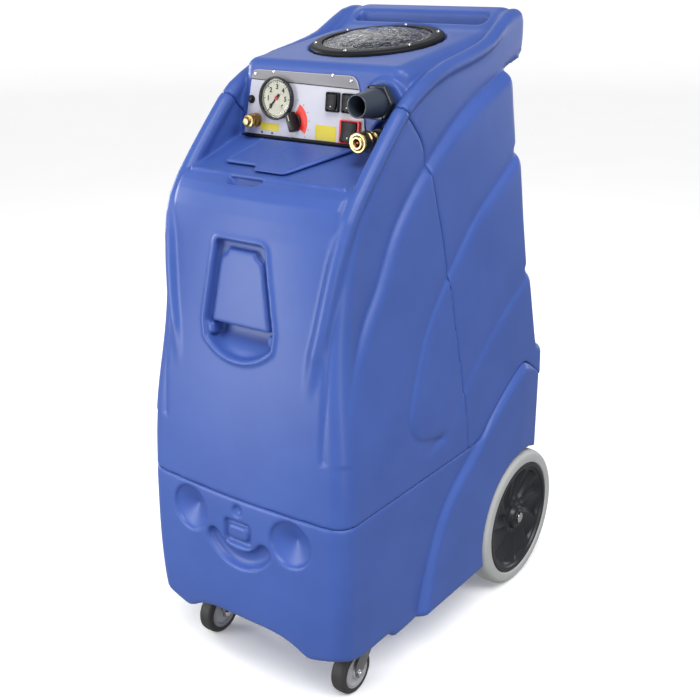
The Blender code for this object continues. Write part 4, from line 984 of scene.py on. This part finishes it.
def fit_wheels():
    half = 0.0215
    middle = 0.1585 + half

    def tread(radius, height, angle):
        """Shallow cross grooves on the running face only."""
        running = radius > 0.1262 and abs(height) < 0.015
        deep = 0.001 * max(0.0, math.cos(60 * angle)) ** 0.5 if running else 0.0
        return radius - deep, height

    def pleats(radius, height, angle):
        """Folded blades that fan out across the outer face."""
        share = float(ease(radius, 0.0235, 0.04) * (1 - ease(radius, 0.087, 0.0925)))
        fold = (angle * BLADES / math.tau + 9.0 * radius) % 1.0
        wave = min(fold / 0.72, (1 - fold) / 0.28)
        return radius, height - (0.0078 * (1 - wave) * share if height > 0 else 0.0)

    for side, name in ((-1, "left"), (1, "right")):
        turn = spin("Y", 90 * side)
        place = shift(side * middle, AXLE_Y, AXLE_Z) @ turn
        body = "wheel_" + name
        rim = 0.1043
        tyre = mirrored([(rim, half - 0.002), (rim + 0.0015, half - 0.0002), (0.113, half),
            (0.1195, half - 0.0006), (0.124, half - 0.004), (0.1262, half - 0.0085),
            (0.1269, half - 0.0125), (0.127, 0.005), (0.1262, 0.0042), (0.1262, 0.0028), (0.127, 0.002)])
        fit(lathe(f"tyre_{name}_tread", tyre, place, TYRE, 240, ring=True, soft=0.001, shape=tread), body,
            "grey_tyre", "tyre_" + name)
        face = [(0.03 + 0.004 * i, half - 0.0105 + 0.005 * ((i + 1) / 16) ** 1.6) for i in range(16)]
        inner = [(0.093, 0.01 - half), (0.03, 0.012 - half), (0.02, 0.0004 - half),
            (0.0069, 0.0004 - half)]
        hub = [(0.0069, half - 0.001), (0.0125, half - 0.001), (0.0135, half - 0.003),
            (0.018, half - 0.0032), (0.0205, half - 0.005), (0.023, half - 0.0115),
            (0.026, half - 0.0125), *face, (0.0935, half - 0.005), (0.0955, half - 0.0012),
            (0.1, half - 0.0008), (0.103, half - 0.0012), (0.1038, half - 0.003), (0.1038, 0.003 - half),
            (0.103, 0.001 - half), (0.096, 0.001 - half), *inner]
        fit(lathe(f"hub_{name}_disc", hub, place, HUB, 176, ring=True, soft=0.0006, shape=pleats,
            sharp=50), body, "black_plastic", "hub_" + name)
        cap_place = shift(side * (middle + half + 0.0003), AXLE_Y, AXLE_Z) @ turn
        cap = lathe(f"axle_cap_{name}_dome", mm((0, 1.7), (3.8, 1.6), (6.8, 1.3), (8.8, 0.6), (9, 0),
            (0, 0)), cap_place, CHROME, 48, soft=0.0003)
        fit(cap, "base", "zinc_steel", "axle_cap_" + name)


def fit_casters():
    """The two front casters: plate and screws, fork, axle bolt, tyre and wheel."""
    trail = 0.022
    for side, name in ((-1, "left"), (1, "right")):
        x, y = side * CASTER_X, CASTER_Y
        swivel_y = y + trail
        swivel, roll = "caster_" + name, "caster_wheel_" + name
        plate = slab(f"caster_mount_{name}", box_outline(0.0268, 0.0318, x, swivel_y), 0.0898, 0.0936,
            Matrix.Identity(4), ZINC, 0.0006, corner=0.005)
        fit(plate, "base", "zinc_steel", "caster_plate_" + name)
        heads = [shift(x + dx, swivel_y + dy, 0.0898) @ spin("X", 180) for dx in (-0.0205, 0.0205)
            for dy in (-0.025, 0.025)]
        fit(screw_heads(f"caster_screws_{name}", heads, 0.0036, CHROME), "base", "zinc_steel")
        bm = bmesh.new()
        cheek = [*arc((y, CASTER_RADIUS), 0.0085, 180, 360, 10), (swivel_y + 0.0185, 0.0765),
            (swivel_y + 0.0195, 0.0834), (swivel_y - 0.0195, 0.0834), (swivel_y - 0.019, 0.07),
            (y - 0.0105, 0.052)]
        for inner, outer in ((-0.0185, -0.0161), (0.0161, 0.0185)):
            slab_into(bm, soften(cheek, 0.003), inner, outer, shift(x, 0) @ SIDEWAYS)
        crown = soften(box_outline(0.0185, 0.0195, x, swivel_y), 0.004)
        slab_into(bm, crown, 0.0803, 0.0834, Matrix.Identity(4))
        turn_into(bm, soften(mm((0, 83), (20, 83), (20.6, 84.2), (20.6, 86.6), (19.5, 89.2), (0, 89.2)),
            0.0006, ring=False), shift(x, swivel_y, 0), 64)
        fit(piece_from(f"caster_yoke_{name}", bm, ZINC, 0.0004), swivel, "zinc_steel",
            "caster_fork_" + name)
        axle = shift(x, y, CASTER_RADIUS) @ ACROSS
        bm = bmesh.new()
        bolt = mirrored(mm((0, 23), (3.2, 22.9), (5.2, 21.8), (5.8, 20), (5.8, 18.8), (3.7, 18.8)))
        turn_into(bm, soften(bolt, 0.0003, ring=False), axle, 40)
        for low, high in ((0.0187, 0.0199), (-0.0199, -0.0187)):
            slab_into(bm, hexagon(0.0065), low, high, axle)
        fit(piece_from(f"caster_axle_{name}", bm, CHROME), swivel, "zinc_steel", "caster_bolt_" + name)
        tyre = mirrored(mm((27.6, 12.8), (32, 13), (35, 12.2), (37, 10), (37.8, 7), (38, 3.5)))
        fit(lathe(f"caster_tread_{name}", tyre, axle, DARK_RUBBER, 96, ring=True, soft=0.0008), roll,
            "black_rubber", "caster_tyre_" + name)
        core = mm((4.1, 15.4), (9.5, 15.4), (10.8, 14), (11.8, 10.5), (19, 8.8), (21.2, 9.2),
            (22.6, 11.8), (24, 12.2), (24.6, 10), (25.6, 10), (26.2, 12.6), (27.2, 12.7))
        fit(lathe(f"caster_disc_{name}", mirrored(core), axle, ALLOY, 96, ring=True, soft=0.0004), roll,
            "motor_metal", "caster_core_" + name)


# ---- Rear ----------------------------------------------------------------------------------------
def fit_rear():
    """The drain valve and its lever, the cord glands and the hinge screws."""
    valve = shift(DRAIN_X, 0.259, DRAIN_Z) @ BACKWARD
    body = mm((13, 55.6), (13.4, 56), (16, 56), (16.5, 55.2), (16.5, 50), (15.2, 49), (15.2, 44),
        (16.5, 43), (16.5, 32), (18.6, 30), (20, 28.8), (20, 0.6), (19, 0.2), (13, 0.2))
    fit(lathe("drain_valve_barrel", body, valve, BLACK, 96, ring=True, soft=0.0006,
        shape=knurl(0.001, 0.0285, 24, 0.0007)), "tanks", "black_plastic", "drain_valve_body")
    axis = shift(DRAIN_X, 0.274, DRAIN_Z + 0.0203)
    outline = [*arc((0, 0), 0.009, 28, 332, 16), *arc((0.051, 0), 0.0058, -100, 100, 8)]
    bm = bmesh.new()
    slab_into(bm, soften(outline, 0.002), 0.0006, 0.0052, axis)
    turn_into(bm, soften(mm((0, 5.2), (5, 5.2), (5, 5.3), (0, 5.3)), 0.0, ring=False), axis, 24)
    fit(piece_from("drain_lever_handle", bm, RED, 0.0008), "drain_lever", "red_plastic", "drain_lever")
    for side, name in ((-1, "left"), (1, "right")):
        gland = shift(side * 0.08, 0.2903, 0.15) @ BACKWARD
        bm = bmesh.new()
        slab_into(bm, soften(hexagon(0.011), 0.001), 0.0, 0.0072, gland)
        turn_into(bm, soften(mm((5.2, 6), (9.2, 7.2), (9.4, 12), (8.8, 18), (7, 21.2), (5.5, 21.9),
            (4.5, 21.5), (4.2, 12)), 0.0006, ring=True), gland, 48, ring=True,
            shape=knurl(0.0085, 0.0185, 16, 0.0006))
        fit(piece_from(f"cord_gland_{name}_cap", bm, BLACK, 0.0004), "base", "black_plastic",
            "cord_gland_" + name)
    heads = [shift(x, 0.293, 0.338) @ BACKWARD for x in (-0.085, -0.028, 0.028, 0.085)]
    fit(screw_heads("hinge_screws_base", heads, 0.004, CHROME), "base", "zinc_steel")


def dress(look, *names):
    """Give CAD nodes that stay a finished material."""
    for name in names:
        NODES[name].data.materials.clear()
        NODES[name].data.materials.append(look)


# ---- Materials -----------------------------------------------------------------------------------
class Look:
    """A Principled material with helpers for procedural colour, roughness and bump."""

    def __init__(self, name, roughness=0.5, metallic=0.0, specular=0.5):
        self.made = bpy.data.materials.new(name)
        self.made.use_nodes = True
        self.tree = self.made.node_tree
        self.shader = self.tree.nodes["Principled BSDF"]
        self.shader.inputs["Roughness"].default_value = roughness
        self.shader.inputs["Metallic"].default_value = metallic
        self.shader.inputs["Specular IOR Level"].default_value = specular
        self.coords = self.node("ShaderNodeTexCoord").outputs["Object"]

    def node(self, kind, **values):
        made = self.tree.nodes.new(kind)
        for key, value in values.items():
            made.inputs[key].default_value = value
        return made

    def link(self, source, target):
        self.tree.links.new(source, target)

    def noise(self, scale, detail=4.0, roughness=0.55):
        made = self.node("ShaderNodeTexNoise", Scale=scale, Detail=detail, Roughness=roughness)
        self.link(self.coords, made.inputs["Vector"])
        return made.outputs["Fac"]

    def ramp(self, value, low, high):
        """A colour ramp between two colours."""
        made = self.node("ShaderNodeValToRGB")
        made.color_ramp.elements[0].position = 0.35
        made.color_ramp.elements[1].position = 0.65
        made.color_ramp.elements[0].color = (*low, 1)
        made.color_ramp.elements[1].color = (*high, 1)
        self.link(value, made.inputs["Fac"])
        return made.outputs["Color"]

    def colour(self, source):
        self.link(source, self.shader.inputs["Base Color"])

    def vary_roughness(self, value, low, high):
        made = self.node("ShaderNodeMapRange")
        made.inputs["To Min"].default_value = low
        made.inputs["To Max"].default_value = high
        self.link(value, made.inputs["Value"])
        self.link(made.outputs["Result"], self.shader.inputs["Roughness"])

    def bump(self, value, strength, distance, under=None):
        made = self.node("ShaderNodeBump", Strength=strength, Distance=distance)
        self.link(value, made.inputs["Height"])
        if under is not None:
            self.link(under, made.inputs["Normal"])
        self.link(made.outputs["Normal"], self.shader.inputs["Normal"])
        return made.outputs["Normal"]


def moulded_blue():
    """Rotomoulded polyethylene: waxy, faintly mottled, with fine orange peel."""
    look = Look("moulded_blue", specular=0.4)
    cloud = look.noise(9.0, 3.0)
    look.colour(look.ramp(cloud, (0.045, 0.097, 0.36), (0.051, 0.108, 0.392)))
    grain = look.noise(900.0, 3.0)
    look.vary_roughness(grain, 0.36, 0.46)
    peel = look.bump(look.noise(150.0, 2.0), 0.1, 0.0006)
    look.bump(grain, 0.1, 0.0002, peel)
    return look.made


def plain_plastic(name, colour, roughness, grain_scale=700.0, strength=0.12, share=0.88, specular=0.45):
    """Faintly clouded plastic or paint with a fine grain."""
    look = Look(name, specular=specular)
    darker = tuple(c * share for c in colour)
    look.colour(look.ramp(look.noise(14.0), darker, colour))
    grain = look.noise(grain_scale)
    look.vary_roughness(grain, roughness - 0.05, roughness + 0.06)
    look.bump(grain, strength, 0.0002)
    return look.made


def bare_metal(name, colour, roughness):
    """Bright metal with fine scratches."""
    look = Look(name, metallic=1.0)
    darker = tuple(c * 0.82 for c in colour)
    look.colour(look.ramp(look.noise(60.0), darker, colour))
    scratches = look.noise(520.0, 6.0, 0.7)
    look.vary_roughness(scratches, roughness - 0.06, roughness + 0.1)
    look.bump(scratches, 0.1, 0.0001)
    return look.made


def clear_plastic(name, ior, waviness):
    """Clear moulded plastic, hazy and wavy."""
    look = Look(name, roughness=0.05)
    haze = look.noise(40.0)
    look.colour(look.ramp(haze, (0.84, 0.88, 0.9), (0.9, 0.93, 0.94)))
    look.shader.inputs["Transmission Weight"].default_value = 1.0
    look.shader.inputs["IOR"].default_value = ior
    look.vary_roughness(haze, 0.02, 0.06)
    if waviness:
        look.bump(look.noise(85.0, 3.0), waviness, 0.003)
    return look.made


BLUE = moulded_blue()
WHITE = plain_plastic("white_paint", (0.56, 0.56, 0.64), 0.42, 500.0, 0.05, 0.96)
HEADER = plain_plastic("grey_header", (0.26, 0.255, 0.275), 0.4, 600.0, 0.05, 0.92)
BLACK = plain_plastic("black_plastic", (0.01, 0.011, 0.014), 0.46, specular=0.22)
GLOSS_BLACK = plain_plastic("gloss_black_plastic", (0.007, 0.008, 0.011), 0.34, 600.0, 0.05, specular=0.3)
HUB = plain_plastic("hub_plastic", (0.014, 0.016, 0.021), 0.36, 500.0, 0.1, specular=0.4)
RED = plain_plastic("red_plastic", (0.8, 0.022, 0.01), 0.36, 600.0, 0.06, 0.92)
SLATE = plain_plastic("slate_plastic", (0.04, 0.052, 0.074), 0.34, 600.0, 0.1)
DARK_SLATE = plain_plastic("dark_slate_plastic", (0.022, 0.028, 0.036), 0.36, 600.0, 0.1)
GAUGE = plain_plastic("gauge_paint", (0.014, 0.016, 0.024), 0.26, 500.0, 0.05)
CREAM = plain_plastic("cream_dial", (0.82, 0.75, 0.6), 0.5, 500.0, 0.03, 0.95)
YELLOW = plain_plastic("yellow_label", (0.7, 0.58, 0.03), 0.45, 500.0, 0.03, 0.92)
TYRE = plain_plastic("grey_tyre", (0.45, 0.46, 0.46), 0.62, 420.0, 0.25, 0.9, 0.3)
RUBBER = plain_plastic("black_rubber", (0.012, 0.012, 0.013), 0.6, 420.0, 0.2, 0.85, 0.3)
DARK_RUBBER = plain_plastic("caster_rubber", (0.042, 0.042, 0.044), 0.55, 420.0, 0.25, 0.85, 0.35)
ALLOY = plain_plastic("caster_alloy", (0.42, 0.42, 0.45), 0.3, 500.0, 0.08, 0.88, 0.6)
CLEAR = clear_plastic("clear_lid", 1.35, 0.9)
GLASS = clear_plastic("gauge_glass", 1.18, 0.0)
BRASS = bare_metal("brass", (0.5, 0.37, 0.17), 0.28)
BRONZE = bare_metal("dull_brass", (0.42, 0.27, 0.11), 0.34)
COPPER = bare_metal("brown_seal", (0.34, 0.1, 0.05), 0.4)
CHROME = bare_metal("bright_steel", (0.78, 0.78, 0.8), 0.16)
ZINC = bare_metal("zinc_steel", (0.36, 0.36, 0.38), 0.36)
MOTOR = bare_metal("motor_steel", (0.46, 0.47, 0.49), 0.38)


# ---- Studio --------------------------------------------------------------------------------------
def studio_look(name, colour, roughness, glow):
    """A floor that also gives off a little light of its own."""
    look = Look(name, roughness=roughness, specular=0.2)
    look.shader.inputs["Emission Color"].default_value = (1.0, 1.0, 1.0, 1)
    look.shader.inputs["Emission Strength"].default_value = glow
    darker = tuple(c * 0.985 for c in colour)
    look.colour(look.ramp(look.noise(3.0), darker, colour))
    return look.made


def make_studio():
    """A pale round floor that curves up all round, an even surround, and soft lamps."""
    flat, radius = 8.0, 5.0
    profile = [(0.0, 0.0), (2.0, 0.0), (5.0, 0.0), *arc((flat, radius), radius, -90, 0, 16)]
    bm = bmesh.new()
    turn_into(bm, profile, Matrix.Identity(4), 96)
    floor = piece_from("studio_floor", bm, studio_look("pale_floor", (0.93, 0.93, 0.94), 0.85, 0.14),
        sharp=80)
    floor.visible_diffuse = False
    floor.visible_glossy = False
    floor.visible_shadow = False

    world = bpy.data.worlds.new("studio")
    world.use_nodes = True
    world.node_tree.nodes["Background"].inputs["Color"].default_value = (1.0, 1.0, 1.0, 1)
    world.node_tree.nodes["Background"].inputs["Strength"].default_value = 0.36
    bpy.context.scene.world = world
    lamps = (("key", "AREA", (-1.8, -2.5, 1.9), 1.4, 20.0), ("fill", "AREA", (2.6, -0.6, 2.4), 1.4, 34.0),
        ("low", "AREA", (-1.2, -2.0, 0.42), 1.0, 22.0), ("rim", "AREA", (-1.7, 1.7, 2.4), 1.4, 5.0),
        ("back", "AREA", (0.9, 2.8, 1.0), 1.4, 12.0), ("corner", "AREA", (2.0, -1.55, 0.35), 0.7, 8.0),
        ("left", "AREA", (-2.3, -0.15, 0.95), 0.9, 22.0), ("sky", "SUN", (1.4, -1.8, 3.8), 0.5, 1.9))
    for name, kind, place, size, power in lamps:
        lamp = bpy.data.lights.new(name, kind)
        if kind == "AREA":
            lamp.shape = "DISK"
            lamp.size = size
        else:
            lamp.angle = size
        lamp.energy = power
        holder = bpy.data.objects.new(name, lamp)
        aim = Vector((0, -0.05, 0.5)) - Vector(place)
        holder.location = place
        holder.rotation_euler = aim.to_track_quat("-Z", "Y").to_euler()
        holder.visible_camera = False
        bpy.context.scene.collection.objects.link(holder)


def make_camera():
    """The photo's camera, solved from the outline of the machine."""
    camera = bpy.data.cameras.new("camera")
    camera.lens = 54.73
    camera.sensor_width = 36.0
    right, up, back = (0.8068, 0.5909, -0.0054), (-0.1998, 0.2813, 0.9386), (0.5561, -0.7561, 0.345)
    turn = Matrix((right, up, back)).transposed().to_4x4()
    holder = bpy.data.objects.new("camera", camera)
    holder.matrix_world = shift(0.9742, -1.3672, 1.0907) @ turn
    bpy.context.scene.collection.objects.link(holder)
    bpy.context.scene.camera = holder


# ---- Assembly ------------------------------------------------------------------------------------
fit(make_base(BLUE), "base", "blue_shell", "base_housing")
fit(make_front_tank(BLUE), "tanks", "blue_shell", "front_tank")
fit(make_rear_tank(BLUE), "tanks", "blue_shell", "rear_tank")
fit_solution_lid()
fit_recovery_lid()
fit_control_plate()
fit_gauge()
for switch, switch_x in (("pump_switch", 0.03), ("vacuum_switch", 0.059)):
    fit_rocker(switch, switch_x, 0.8965, outer=(0.012, 0.014), window=(0.0093, 0.0118),
        paddle=(0.0086, 0.011), look=BLACK, slot="black_plastic", dot_y=-0.0072)
fit_rocker("heater_switch", 0.063, 0.8565, outer=(0.018, 0.0165), window=(0.0137, 0.0145),
    paddle=(0.013, 0.0136), look=RED, slot="red_plastic", dot_y=-0.0085)
fit_dial()
fit_ports()
fit_wheels()
fit_casters()
fit_rear()
dress(ZINC, "rear_axle", "hinge_pin", "hinge_leaf_base", "hinge_leaf_tank", "heat_exchanger",
    "solution_filter")
dress(MOTOR, "vacuum_motor_left", "vacuum_motor_right", "pump_motor")
dress(BRASS, "pump_head")
dress(BLACK, "electrical_box")
dress(WHITE, "vacuum_standpipe", "float_shutoff")

make_studio()
make_camera()
bpy.context.scene.view_settings.view_transform = "Standard"
